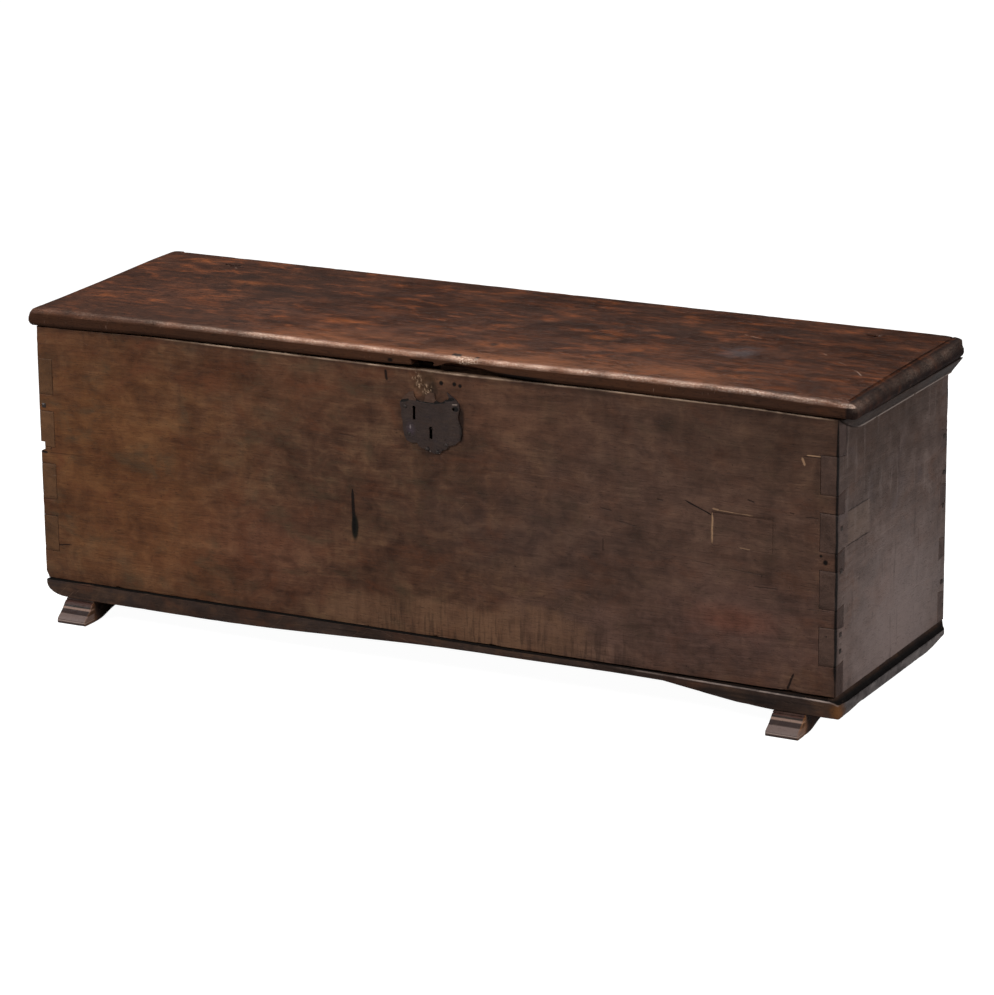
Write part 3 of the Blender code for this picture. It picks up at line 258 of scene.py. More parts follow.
def make_stroke():
    """A crack, a scratch or a joint line from Start to End. Shake is a noise that makes it wander."""
    tree, give, take = start_group("stroke", {
        "Place": ORIGIN, "Start": ORIGIN, "End": (0.0, 0.0, 0.1),
        "Width": 0.001, "Wobble": 0.001, "Shake": (0.5, 0.5, 0.5),
    }, {"Mask": 0.0})
    shake = scaled(tree, vector_calc(tree, "SUBTRACT", give["Shake"], (0.5, 0.5, 0.5)), give["Wobble"])
    run = vector_calc(tree, "SUBTRACT", give["End"], give["Start"])
    from_start = vector_calc(tree, "SUBTRACT", vector_calc(tree, "ADD", give["Place"], shake), give["Start"])
    along = calc(tree, "DIVIDE", vector_calc(tree, "DOT_PRODUCT", from_start, run),
                 vector_calc(tree, "DOT_PRODUCT", run, run), clamp=True)
    away = vector_calc(tree, "LENGTH", vector_calc(tree, "SUBTRACT", from_start, scaled(tree, run, along)))
    taper = calc(tree, "MULTIPLY", along, calc(tree, "SUBTRACT", 1.0, along))
    taper = span(tree, taper, 0.0, 0.12, 0.35, 1.0)
    away = calc(tree, "DIVIDE", away, calc(tree, "MULTIPLY", give["Width"], taper))
    tree.links.new(span(tree, away, 1.0, 0.45), take["Mask"])
    return tree


GRAIN = make_grain()
SCUFFS = make_scuffs()
SPOT = make_spot()
STROKE = make_stroke()

# Timber finish: one recipe, with each board's own colours and marks.

# Two near-black browns: the first for dirt, and also for a painted shadow on the front under the lid; the
# second for soot, holes and joint lines, and also for painted shade in gaps and hollows.
DIRT_AND_SHADE = (20, 13, 11)
SOOT_AND_SHADE = (9, 7, 6)


class Finish:
    """A timber material under construction: its tree, its colour so far, its height and its roughness."""

    def __init__(self, name, order, seed, dark, middle, light, warm, cool, contrast=1.0, figure=0.35,
                 rough=0.5, patches=0.6, zoom=1.0, stretch=1.0, streaky=0.15, patina=True):
        self.material, tree, self.shader = new_material(name)
        self.tree = tree
        self.place = tree.nodes.new("ShaderNodeTexCoord").outputs["Object"]
        self.parts = parts = add_node(tree, "ShaderNodeSeparateXYZ", {"Vector": self.place}).outputs
        turned = add_node(tree, "ShaderNodeCombineXYZ", {
            "X": parts[order[0]], "Y": parts[order[1]], "Z": parts[order[2]]}).outputs[0]
        turned = vector_calc(tree, "MULTIPLY", turned, (zoom * stretch, zoom, zoom))
        self.grain = grain = place_group(tree, GRAIN, place=turned, seed=seed)
        self.scuffs = place_group(tree, SCUFFS, place=turned, seed=seed)
        value = calc(tree, "MULTIPLY", grain["Fibre"], 0.08)
        for layer, share in (("Streak", 0.09), ("Blotch", 0.28), ("Chatter", 0.07), ("Daub", 0.24),
                             ("Figure", -0.1 * figure)):
            value = calc(tree, "MULTIPLY_ADD", grain[layer], share, value)
        noise_node = add_node(tree, "ShaderNodeTexNoise", {"Vector": self.place, "Scale": 26.0, "Detail": 5.0})
        self.rag = noise_node.outputs["Fac"]
        self.shake = noise_node.outputs["Color"]
        value = calc(tree, "MULTIPLY_ADD", self.rag, 0.26, value)
        centre = 0.51 - 0.05 * figure
        reach = 0.28 / contrast
        self.value = value = span(tree, value, centre - reach, centre + reach, smooth=False)
        colour = mix(tree, span(tree, value, 0.0, 0.5, smooth=False), dark, middle)
        colour = mix(tree, span(tree, value, 0.5, 1.0, smooth=False), colour, light)
        self.colour = colour
        hue = calc(tree, "MULTIPLY", grain["Hue"], 1 - streaky)
        self.hues = warm, cool, patches, calc(tree, "MULTIPLY_ADD", grain["Streak"], streaky, hue)
        self.rough = span(tree, grain["Blotch"], 0.0, 1.0, rough - 0.1, rough + 0.14)
        height = calc(tree, "MULTIPLY", grain["Fibre"], 0.5)
        for layer, share in (("Pores", -0.5), ("Figure", 0.2), ("Streak", 0.5), ("Chatter", 0.25),
                             ("Daub", 0.35)):
            height = calc(tree, "MULTIPLY_ADD", grain[layer], share, height)
        self.height = height
        if patina:
            self.patina()

    def tint(self, mask, colour, strength=1.0):
        share = calc(self.tree, "MULTIPLY", mask, strength) if strength != 1.0 else mask
        self.colour = mix(self.tree, share, self.colour, colour)

    def region(self, centre, radius, dark, light, strength):
        """A broad stain with two tones of its own, so that the grain shows through."""
        both = mix(self.tree, self.value, dark, light)
        self.spot(centre, radius, both, strength, softness=0.95, ragged=0.4)

    def patina(self, share=1.0):
        """Small warm and cool patches all over the board, weaker where share is low."""
        warm, cool, patches, hue = self.hues
        for high, colour in ((1.0, warm), (0.0, cool)):
            mask = span(self.tree, hue, 0.5, high, 0.0, patches)
            self.tint(self.overlap(mask, share), colour)

    def dull(self, mask, amount):
        self.rough = calc(self.tree, "MULTIPLY_ADD", mask, amount, self.rough)

    def sink(self, mask, amount):
        self.height = calc(self.tree, "MULTIPLY_ADD", mask, -amount, self.height)

    def spot(self, centre, radius, colour, strength=1.0, softness=0.5, ragged=0.3, by=None):
        """An oval stain; by is a mask that it is limited to."""
        mask = place_group(self.tree, SPOT, place=self.place, centre=centre, radius=radius, softness=softness,
                           raggedness=ragged, rag=self.rag)["Mask"]
        if by is not None:
            mask = self.overlap(mask, by)
        self.tint(mask, colour, strength)

    def stroke(self, start, end, width, colour, strength=1.0, wobble=0.004, depth=0.0):
        mask = place_group(self.tree, STROKE, place=self.place, start=start, end=end, width=width,
                           wobble=wobble, shake=self.shake)["Mask"]
        self.tint(mask, colour, strength)
        if depth:
            self.sink(mask, depth)

    def face(self, mask, dark, light):
        """Gives the places of mask two tones of their own, keeping the board's grain."""
        self.tint(mask, mix(self.tree, self.value, dark, light))

    def slab(self, part, low, high, corner=ORIGIN):
        """Mask of the places whose X, Y or Z, measured from corner, lies past low, full from high on."""
        start = corner["XYZ".index(part)]
        return span(self.tree, self.parts[part], start + low, start + high)

    def overlap(self, *masks):
        """Mask of the places that lie in all the masks."""
        shared = masks[0]
        for mask in masks[1:]:
            shared = calc(self.tree, "MULTIPLY", shared, mask)
        return shared

    def band(self, part, low, high, fade):
        """Mask of the places between low and high, which fades inside them."""
        return self.overlap(self.slab(part, low, low + fade), self.slab(part, high, high - fade))

    def vertex_value(self, key):
        """One of the two values that worn_piece gives each vertex of a board: how pale it is rubbed, partly as
        painted highlight, and how much painted shade it gets.
        """
        return add_node(self.tree, "ShaderNodeAttribute", attribute_name=key).outputs["Fac"]

    def flecks(self, scale, shift, colour, strength, low=0.56, high=0.68):
        """Ragged flecks of another colour: scale is their number to the metre along X, Y and Z."""
        moved = vector_calc(self.tree, "MULTIPLY", self.place, scale)
        moved = vector_calc(self.tree, "ADD", moved, (shift, 0, shift))
        self.tint(span(self.tree, speckle(self.tree, moved, 1.0, 7.0, 0.66, 0.3), low, high), colour, strength)

    def paint_shade(self, colour, strength):
        """Painted shade on the places that light doesn't reach, from the board's own vertex values."""
        shade = self.vertex_value("shade")
        self.tint(shade, colour, strength)
        self.dull(shade, 0.5)

    def wear_and_highlights(self, worn, strength=0.85):
        """Pale rubbed arrises from the board's own vertex values; on the lid, the front and the base they are
        partly painted highlight.
        """
        rub_and_highlight = self.overlap(self.vertex_value("rub_and_highlight"), span(self.tree, self.value, 0.1, 0.8, 0.25, 1.0))
        self.tint(rub_and_highlight, worn, strength)
        self.dull(rub_and_highlight, -0.18)

    def age(self, pale, scratch_strength):
        self.tint(self.scuffs["Scratches"], pale, scratch_strength)
        self.sink(self.scuffs["Scratches"], 0.6)
        self.tint(self.scuffs["Specks"], DIRT_AND_SHADE, 0.45)
        self.tint(self.scuffs["Holes"], DIRT_AND_SHADE, 0.9)
        self.sink(self.scuffs["Holes"], 2.5)
        self.tint(self.grain["Pores"], DIRT_AND_SHADE, 0.3)

    def done(self, relief=0.0005, specular=0.3):
        feed(self.tree, self.shader, self.colour, self.rough, self.height, relief)
        self.shader.inputs["Specular IOR Level"].default_value = specular
        return self.material


# Which way the grain runs: the axes that serve as the pattern's X, Y and Z.
ALONG_X, ALONG_Y, LID_ORDER = "XZY", "YZX", "XYZ"
# A board's end grain starts and is full at these distances from its end face.
END_GRAIN, FULL_END_GRAIN = 0.0006, 0.0001


def front_finish():
    f = Finish("front_board_polish", ALONG_X, 0.0, (52, 33, 24), (80, 54, 40), (106, 77, 56),
               warm=(98, 56, 36), cool=(74, 62, 46), contrast=1.3, patina=False)
    tree = f.tree
    for across, height, wide, high, dark, light, strength in FRONT_REGIONS:
        f.region(on_front(across, height), (wide, 1, high), dark, light, strength)
    f.patina(calc(tree, "MULTIPLY_ADD", f.slab("X", 0.3, -0.2), 0.65, 0.35))
    worn = calc(tree, "MULTIPLY_ADD", f.grain["Chatter"], 0.6, 0.4, clamp=True)
    for across, height, wide, high in PALE_FOOT:
        f.spot(on_front(across, height), (wide, 1, high), (118, 86, 64), 0.62, softness=0.35, ragged=0.4,
               by=worn)
    strokes = speckle(tree, f.place, (170.0, 1.0, 16.0), 3.0, 0.6)
    foot = f.slab("Z", 0.11, 0.0, FRONT_LOW)
    f.tint(f.overlap(span(tree, strokes, 0.5, 0.36), foot, f.band("X", -0.16, 0.46, 0.12)), (52, 37, 30), 0.5)
    f.spot(on_front(-0.1225, 0.171), (0.0086, 1, 0.029), (18, 18, 12), 0.97, softness=0.45, ragged=0.05)
    f.stroke(on_front(-0.1262, 0.236), on_front(-0.1235, 0.16), 0.0042, SOOT_AND_SHADE, 0.9, wobble=0.001)
    # Painted shadow: the front's top 12 mm are darkened as if under the lid's overhang.
    f.tint(f.slab("Z", -0.012, -0.003, FRONT_HIGH), DIRT_AND_SHADE, 0.3)
    for start, end, width, strength in FRONT_CRACKS:
        f.stroke(on_front(*start), on_front(*end), width, DIRT_AND_SHADE, strength, depth=1.5 * strength)
    for start, end, width, strength in FRONT_SCRATCHES:
        f.stroke(on_front(*start), on_front(*end), width, (176, 140, 108), strength)
    f.stroke(on_front(-0.06, 0.45), on_front(-0.056, 0.431), 0.0034, SOOT_AND_SHADE, 0.85, wobble=0.008, depth=1.0)
    for across, height, size in FRONT_HOLES:
        f.spot(on_front(across, height), (size, 1, size), SOOT_AND_SHADE, 0.97, softness=0.5, ragged=0.4)
    flakes = speckle(tree, f.place, (340.0, 1.0, 210.0), 3.0, 0.6, 1.2)
    splinter = span(tree, flakes, 0.53, 0.62)
    for across, height, wide, high, colour, strength in LOCK_STAINS:
        f.spot(on_front(across, height), (wide, 1, high), colour, strength, softness=0.55, ragged=0.5)
    for across, height, wide, high in SPLINTERS:
        f.spot(on_front(across, height), (wide, 1, high), (178, 146, 118), 0.85, softness=0.7, ragged=0.9,
               by=splinter)
    f.face(f.slab("X", -END_GRAIN, -FULL_END_GRAIN, FRONT_HIGH), (58, 45, 41), (92, 76, 70))
    f.tint(f.slab("X", -0.01, -0.001, FRONT_HIGH), (44, 32, 28), 0.45)
    corner = FRONT_HIGH.x - END_GRAIN
    f.stroke(Vector((corner, FRONT_LOW.y, FRONT_LOW.z)), Vector((corner, FRONT_LOW.y, FRONT_HIGH.z)), 0.0046,
             SOOT_AND_SHADE, 0.95, wobble=0.005)
    # Pale rubbed arrises; the top arris is partly painted highlight.
    f.wear_and_highlights((206, 176, 150), 0.7)
    f.age((136, 102, 78), 0.14)
    return f.done(specular=0.12)


def end_finish(name, seed, tail_dark, tail_light):
    # The ends' purple-grey tones partly paint the cool light falling on the right end; the left end is warmed
    # back below.
    f = Finish(name, ALONG_Y, seed, (64, 51, 46), (84, 69, 63), (104, 89, 83),
               warm=(90, 66, 55), cool=(78, 68, 68), contrast=1.2, zoom=0.9, figure=0.5)
    f.tint(f.slab("X", 0.0, -0.1), (108, 74, 50), 0.45)
    # Painted reflection: the end face is darker at the top and paler and cooler at the bottom, partly as the
    # floor would reflect in it.
    f.spot(on_end(0.26, 0.03), (2, 0.36, 0.27), (124, 109, 104), 0.75, softness=0.95)
    f.spot(on_end(0.2, 0.48), (2, 0.56, 0.26), (50, 36, 29), 0.9, softness=0.95)
    low, high = on_end(0.041, 0.242), on_end(0.131, 0.297)
    patch = f.overlap(f.band("Y", low.y, high.y, 0.002), f.band("Z", low.z, high.z, 0.002))
    f.tint(patch, (106, 88, 76), 0.3)
    for start, end, width, strength in END_LINES:
        f.stroke(on_end(*start), on_end(*end), width, DIRT_AND_SHADE, strength, depth=strength)
    f.flecks((1, 60, 9), 0.0, (120, 106, 100), 0.24)
    f.flecks((1, 80, 10), 5.0, (58, 47, 44), 0.4)
    f.tint(f.slab("Y", 0.016, 0.001, END_LOW), (48, 38, 35), 0.5)
    f.face(f.slab("Y", END_GRAIN, FULL_END_GRAIN, END_LOW), tail_dark, tail_light)
    f.stroke(Vector((END_HIGH.x, END_LOW.y, END_LOW.z)), Vector((END_HIGH.x, END_LOW.y, END_HIGH.z)), 0.0046,
             SOOT_AND_SHADE, 0.95, wobble=0.005)
    f.spot(on_end(0.012, 0.44), (2, 0.026, 0.06), (30, 23, 23), 0.8, softness=0.7, ragged=0.8)
    corner_marks(f)
    for across, height, size in TAIL_HOLES:
        f.spot(on_front(across, height), (size, 0.004, size), SOOT_AND_SHADE, 0.95, softness=0.5, ragged=0.6)
    f.wear_and_highlights((150, 126, 110), 0.6)
    f.age((140, 118, 106), 0.2)
    return f.done(specular=0.18)


def corner_marks(f):
    """Dark gaps in the joint of the end and the back, as they show on the end's rear corner."""
    for height, length in CORNER_MARKS:
        f.stroke(on_end(0.458, height), on_end(0.4575, height - length), 0.0034, SOOT_AND_SHADE, 0.9, wobble=0.004)


def back_finish():
    # The back's paler tones: partly the unpolished board's own, partly painted light for the side that the
    # lamps hardly reach.
    f = Finish("back_board_timber", ALONG_X, 3.7, (62, 46, 37), (94, 70, 55), (124, 96, 75),
               warm=(110, 74, 54), cool=(90, 78, 66), rough=0.62, figure=0.8)
    f.face(f.slab("X", -END_GRAIN, -FULL_END_GRAIN, FRONT_HIGH), (56, 45, 42), (90, 75, 70))
    corner_marks(f)
    f.wear_and_highlights((132, 104, 80))
    f.age((136, 106, 84), 0.25)
    return f.done(specular=0.2)


def lid_finish():
    f = Finish("lid_polish", LID_ORDER, 1.9, (38, 21, 14), (62, 37, 26), (90, 55, 38),
               warm=(112, 60, 30), cool=(48, 32, 28), contrast=1.1, rough=0.4, patches=0.7,
               zoom=1.2, stretch=0.8, streaky=0.4)
    f.tint(f.slab("Y", 0.08, 0.27, FRONT_LOW), (30, 18, 14), 0.38)
    f.flecks((18, 46, 46), 0.0, (132, 72, 38), 0.62, low=0.5, high=0.76)
    f.flecks((24, 60, 60), 7.0, (24, 15, 12), 0.62, low=0.5, high=0.74)
    f.flecks((60, 90, 90), 3.0, (112, 78, 60), 0.3, low=0.6, high=0.72)
    left_front = f.overlap(f.slab("X", -0.28, -0.42), f.slab("Y", 0.14, 0.07, LID_LOW))
    f.tint(left_front, (30, 18, 13), 0.42)
    f.spot(on_lid(-0.44, 0.34), (0.14, 0.15, 1), (32, 20, 15), 0.5, softness=0.95, ragged=0.8)
    for across, depth, wide, deep in DARK_STAINS:
        f.spot(on_lid(across, depth), (wide, deep, 1), (38, 25, 20), 0.5, softness=0.95, ragged=1.0)
    for across, depth, wide, deep in ORANGE_PATCHES:
        f.spot(on_lid(across, depth), (wide, deep, 1), (140, 78, 38), 0.55, softness=0.95, ragged=1.0,
               by=span(f.tree, f.rag, 0.4, 0.62))
    # Painted reflection: a dim grey-blue sheen on the right of the lid's top.
    f.spot(on_lid(0.48, 0.2), (0.055, 0.045, 1), (84, 78, 80), 0.5, softness=0.95, ragged=1.3)
    for start, end in PALE_SCRATCHES:
        f.stroke(on_lid(*start), on_lid(*end), 0.0015, (168, 142, 126), 0.5, wobble=0.012)
    rubbed = f.overlap(f.slab("Y", 0.105, 0.045, LID_LOW), f.slab("X", -0.38, -0.2),
                       f.slab("X", 0.66, 0.44), span(f.tree, f.grain["Blotch"], 0.25, 0.75, 0.15, 1.0))
    f.tint(rubbed, (126, 78, 50), 0.5)
    # Painted shade darkens the lid's flat front face.
    f.paint_shade((58, 36, 24), 0.85)
    f.dull(f.slab("X", -0.2, -0.5), 0.24)
    f.flecks((40, 60, 140), 11.0, (30, 18, 12), 0.45)
    # Painted shade: the hollow under the lid's front edge, by the lock, is made black.
    hollow = f.overlap(f.slab("X", HOLLOW_LEFT, HOLLOW_LEFT + HOLLOW_FADE), f.slab("X", 0.26, 0.2),
                       f.slab("Y", 0.03, 0.015, LID_LOW), f.slab("Z", 0.0125, 0.01, LID_LOW))
    f.tint(hollow, SOOT_AND_SHADE, 0.95)
    for across, depth, width in ((0.074, 0.014, 0.007), (0.066, 0.016, 0.0045), (0.11, 0.01, 0.005)):
        f.spot(on_lid_edge(across, depth, LID_THICKNESS - 0.004), (width, 0.008, 0.01), SOOT_AND_SHADE, 0.95, ragged=0.4)
    flakes = span(f.tree, speckle(f.tree, f.place, 420.0, 2.0), 0.5, 0.58)
    f.spot(on_lid_edge(0.096, 0.006, 0.025), (0.026, 0.014, 0.008), (216, 190, 166), 0.9, softness=0.6,
           ragged=0.7, by=flakes)
    f.spot(on_lid_edge(-0.046, 0.0, 0.012), (0.008, 0.02, 0.005), SOOT_AND_SHADE, 0.9, ragged=0.8)
    # Painted shade: the lid's right-end moulding is darkened nearly to black, raggedly.
    end = f.overlap(f.slab("X", -0.0215, -0.015, LID_HIGH), span(f.tree, f.rag, 0.4, 0.6, 1.0, 0.75))
    f.tint(end, (22, 14, 13), 0.95)
    f.dull(end, 0.35)
    quirk = LID_HIGH.x - 0.0225
    f.stroke(Vector((quirk, LID_LOW.y + 0.02, LID_HIGH.z)), Vector((quirk, LID_HIGH.y, LID_HIGH.z)), 0.0016,
             DIRT_AND_SHADE, 0.8, wobble=0.006)
    under = f.overlap(f.slab("Z", 0.008, 0.0055, LID_LOW), f.slab("Y", 0.012, 0.02, LID_LOW),
                      f.slab("X", -0.014, -0.02, LID_HIGH))
    f.face(under, (52, 38, 30), (100, 74, 57))
    f.dull(under, 0.25)
    # The lid's pale rubbed front edge is partly painted highlight.
    f.wear_and_highlights((196, 160, 140), 0.55)
    # Painted highlight: pale glints along the rubbed front edge.
    f.tint(f.overlap(f.vertex_value("rub_and_highlight"), flakes), (226, 208, 190), 0.35)
    f.age((176, 144, 124), 0.3)
    return f.done(relief=0.0009, specular=0.13)


def base_finish():
    f = Finish("base_timber", ALONG_X, 5.3, (36, 26, 22), (58, 43, 36), (88, 64, 48),
               warm=(84, 52, 36), cool=(56, 48, 46), rough=0.55)
    side = f.overlap(f.slab("X", 0.0002, 0.0012, END_HIGH), f.slab("Y", 0.0, 0.03, FRONT_LOW))
    f.face(side, (48, 43, 43), (116, 108, 105))
    f.flecks((1, 40, 60), 0.0, (20, 16, 15), 0.6)
    f.spot(Vector((BASE_HIGH.x, BASE_LOW.y, LEDGE - 0.012)), (0.022, 0.04, 0.018), (112, 72, 38), 0.75,
           softness=0.9, ragged=1.0)
    # Pale rubbed arrises; the nose's upper arris is partly painted highlight.
    f.wear_and_highlights((190, 170, 160))
    # Painted shade blackens the gap under the front and the ledge outside the right end.
    f.paint_shade(SOOT_AND_SHADE, 0.97)
    f.age((140, 112, 92), 0.3)
    return f.done(specular=0.12)


# Painted light and shade on the feet's moulded toes, pale highlight bands between dark shade bands: lower and
# upper height, tone and strength.
TOE_LIGHT_AND_SHADE_BANDS = ((0.0285, 0.036, (70, 44, 38), 0.7), (0.0262, 0.0282, (22, 15, 13), 0.8),
             (0.0226, 0.0256, (150, 122, 108), 0.75), (0.0168, 0.022, (46, 33, 31), 0.8),
             (0.007, 0.016, (128, 110, 104), 0.65), (0.0046, 0.0064, (178, 156, 146), 0.7),
             (-0.01, 0.004, (84, 68, 62), 0.6))


def runner_finish():
    f = Finish("runner_timber", ALONG_Y, 7.1, (34, 24, 21), (60, 45, 39), (92, 73, 64),
               warm=(106, 64, 42), cool=(66, 58, 58))
    toes = calc(f.tree, "MAXIMUM", f.slab("Y", -0.236, -0.243), f.slab("Y", 0.236, 0.243))
    # Painted highlights and painted shade in bands across the toes.
    for low, high, colour, strength in TOE_LIGHT_AND_SHADE_BANDS:
        f.tint(f.overlap(f.band("Z", low - 0.0006, high + 0.0006, 0.0012), toes), colour, strength)
    f.wear_and_highlights((126, 82, 44), 0.7)
    f.age((140, 116, 100), 0.3)
    return f.done(specular=0.2)


def iron_finish():
    material, tree, shader = new_material("aged_wrought_iron")
    place = tree.nodes.new("ShaderNodeTexCoord").outputs["Object"]
    broad = speckle(tree, place, 55.0, 5.0, 0.6)
    fine = speckle(tree, place, 420.0, 4.0, 0.6)
    rust = span(tree, speckle(tree, place, 110.0, 5.0, 0.65), 0.52, 0.7)
    colour = mix(tree, span(tree, broad, 0.35, 0.65), (44, 36, 33), (60, 50, 46))
    colour = mix(tree, calc(tree, "MULTIPLY", rust, 0.45), colour, (72, 48, 34))
    height = calc(tree, "MULTIPLY_ADD", fine, 0.4, broad)
    rough = span(tree, calc(tree, "MULTIPLY_ADD", rust, 0.4, fine), 0.35, 1.0, 0.45, 0.75)
    feed(tree, shader, colour, rough, height, 0.0006)
    shader.inputs["Metallic"].default_value = 0.35
    return material


# Torn edges between the lock plate's upper cusps: two points (across, below its top) and the half width.
PLATE_TEARS = (
    ((0.0, 0.024), (0.018, 0.02), 0.0036), ((0.03, 0.02), (0.044, 0.0195), 0.0034),
    ((0.064, 0.019), (0.086, 0.017), 0.0042), ((0.04, 0.022), (0.07, 0.021), 0.0014),
    ((0.086, 0.014), (0.102, 0.01), 0.004), ((0.016, 0.021), (0.032, 0.022), 0.0014),
)


def plate_finish():
    f = Finish("worn_lock_plate", ALONG_X, 9.4, (43, 33, 30), (55, 43, 39), (66, 53, 46),
               warm=(64, 44, 34), cool=(48, 38, 42), contrast=0.9, rough=0.6, patches=0.5, zoom=2.5)
    low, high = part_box("lock_plate")

    def at(across, below):
        return Vector((low.x + across, low.y, high.z - below))

    gone = f.overlap(f.slab("Z", -0.0215, -0.0195, high), f.slab("X", 0.07, 0.066, low))
    f.face(gone, (60, 42, 33), (94, 68, 54))
    for start, end, width in PLATE_TEARS:
        f.stroke(at(*start), at(*end), width, SOOT_AND_SHADE, 0.9, wobble=0.008, depth=1.0)
    f.spot(at(0.02, 0.07), (0.012, 1, 0.016), (68, 56, 64), 0.6, softness=0.8)
    # Painted highlight: a small pale glint on the boss by the lower left nail.
    f.spot(at(0.019, 0.066), (0.0022, 1, 0.0055), (134, 122, 120), 0.8, softness=0.8)
    f.spot(at(0.1035, 0.027), (0.0075, 1, 0.0052), SOOT_AND_SHADE, 0.95, softness=0.3, ragged=0.2)
    # Painted highlight: a pale glint above the square hole.
    f.stroke(at(0.098, 0.02), at(0.108, 0.019), 0.0012, (150, 132, 120), 0.8, wobble=0.002)
    # Nail holes along the lower edge, each with a painted highlight: a pale glint beside it.
    for across, below in ((0.052, 0.1), (0.07, 0.102), (0.08, 0.101)):
        f.spot(at(across, below), (0.003, 1, 0.0042), SOOT_AND_SHADE, 0.9, softness=0.4, ragged=0.4)
        f.spot(at(across + 0.003, below + 0.005), (0.002, 1, 0.0024), (170, 156, 148), 0.8, softness=0.6)
    f.tint(f.slab("X", -0.006, -0.001, high), SOOT_AND_SHADE, 0.55)
    f.age((120, 106, 98), 0.15)
    return f.done(relief=0.0004, specular=0.2)


def cleat_finish():
    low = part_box("right_cleat")[0]
    f = Finish("cleat_timber", ALONG_Y, 8.2, (30, 23, 21), (48, 38, 34), (70, 57, 51),
               warm=(62, 44, 36), cool=(48, 41, 40))
    f.tint(f.slab("Z", 0.0042, 0.0016, low), (138, 124, 116), 0.75)
    f.age((130, 112, 102), 0.2)
    return f.done(specular=0.15)


# Broad stains of the front; among them the warmer, brighter left and the greyer right are partly painted light:
# across, height, half width, half height, darkest and lightest tone, strength.
FRONT_REGIONS = ((0.5, 0.22, 0.62, 0.5, (68, 50, 42), (98, 74, 64), 0.7),
                 (-0.26, 0.4, 0.24, 0.1, (76, 47, 31), (110, 72, 50), 0.6),
                 (0.14, 0.4, 0.24, 0.09, (72, 48, 36), (106, 72, 55), 0.6),
                 (0.42, 0.05, 0.42, 0.1, (74, 54, 46), (112, 84, 74), 0.6),
                 (-0.64, 0.24, 0.46, 0.42, (78, 45, 26), (124, 80, 44), 0.7),
                 (-0.46, 0.1, 0.26, 0.14, (84, 50, 30), (134, 86, 54), 0.5),
                 (-0.3, 0.11, 0.2, 0.13, (76, 46, 34), (118, 76, 58), 0.55),
                 (0.2, 0.19, 0.36, 0.1, (48, 36, 32), (82, 62, 54), 0.5),
                 (0.66, 0.42, 0.4, 0.14, (46, 32, 25), (80, 58, 46), 0.6),
                 (0.6, 0.1, 0.24, 0.12, (62, 44, 40), (104, 76, 68), 0.6),
                 (0.57, 0.105, 0.11, 0.035, (84, 48, 36), (128, 78, 60), 0.6))
# Stains and pale splinters round the lock, and the pale scrubbed foot: across, height and the half sizes.
LOCK_STAINS = ((0.026, 0.372, 0.066, 0.064, (50, 36, 29), 0.62),
               (0.081, 0.375, 0.009, 0.042, (26, 18, 15), 0.85),
               (0.0135, 0.434, 0.03, 0.03, (66, 48, 33), 0.7),
               (0.03, 0.424, 0.012, 0.016, (34, 24, 19), 0.55))
SPLINTERS = ((-0.002, 0.444, 0.013, 0.012), (0.004, 0.432, 0.009, 0.013), (0.016, 0.424, 0.014, 0.011))
PALE_FOOT = ((-0.01, 0.022, 0.21, 0.052), (0.2, 0.028, 0.14, 0.06))
# Lines of the front and the end: two points (across or depth, height), the half width and the strength.
FRONT_CRACKS = (
    ((0.486, 0.2937), (0.5335, 0.2748), 0.0018, 0.95), ((0.6665, 0.0012), (0.6783, 0.0298), 0.0024, 0.9),
    ((-0.7254, 0.2973), (-0.7286, 0.2306), 0.0018, 0.9), ((-0.7496, 0.0577), (-0.6928, 0.0651), 0.0014, 0.8),
    ((-0.7496, 0.2285), (-0.736, 0.227), 0.003, 0.95), ((-0.736, 0.227), (-0.66, 0.229), 0.0014, 0.35),
    ((0.595, 0.308), (0.608, 0.3045), 0.0016, 0.7),
    ((0.668, 0.296), (0.676, 0.2945), 0.0016, 0.6), ((0.335, 0.262), (0.356, 0.259), 0.0014, 0.5),
    ((0.436, 0.289), (0.448, 0.288), 0.0018, 0.5), ((0.366, 0.244), (0.4, 0.239), 0.0014, 0.4),
    ((0.69, 0.3905), (0.72, 0.391), 0.0009, 0.6), ((0.695, 0.2915), (0.72, 0.292), 0.0012, 0.6),
    ((0.56, 0.19), (0.63, 0.187), 0.0012, 0.35), ((0.606, 0.166), (0.65, 0.167), 0.0012, 0.45),
    ((0.5, 0.195), (0.54, 0.192), 0.0012, 0.35), ((0.34, 0.211), (0.34, 0.188), 0.0022, 0.45),
    ((-0.15, 0.33), (-0.12, 0.329), 0.0014, 0.35), ((0.7, 0.141), (0.74, 0.141), 0.0009, 0.5),
)
FRONT_SCRATCHES = (
    ((0.5338, 0.279), (0.5338, 0.228), 0.0021, 0.75), ((0.535, 0.285), (0.605, 0.282), 0.001, 0.65),
    ((0.534, 0.286), (0.546, 0.285), 0.0022, 0.5), ((0.696, 0.3925), (0.72, 0.3935), 0.0012, 0.7),
    ((0.688, 0.388), (0.693, 0.376), 0.0026, 0.55), ((0.58, 0.227), (0.602, 0.226), 0.001, 0.45),
)
END_LINES = (
    ((0.0405, 0.2975), (0.131, 0.2975), 0.0012, 0.7), ((0.03, 0.241), (0.131, 0.2415), 0.0012, 0.75),
    ((0.01, 0.31), (0.038, 0.323), 0.0014, 0.6), ((0.008, 0.145), (0.03, 0.162), 0.0012, 0.4),
)
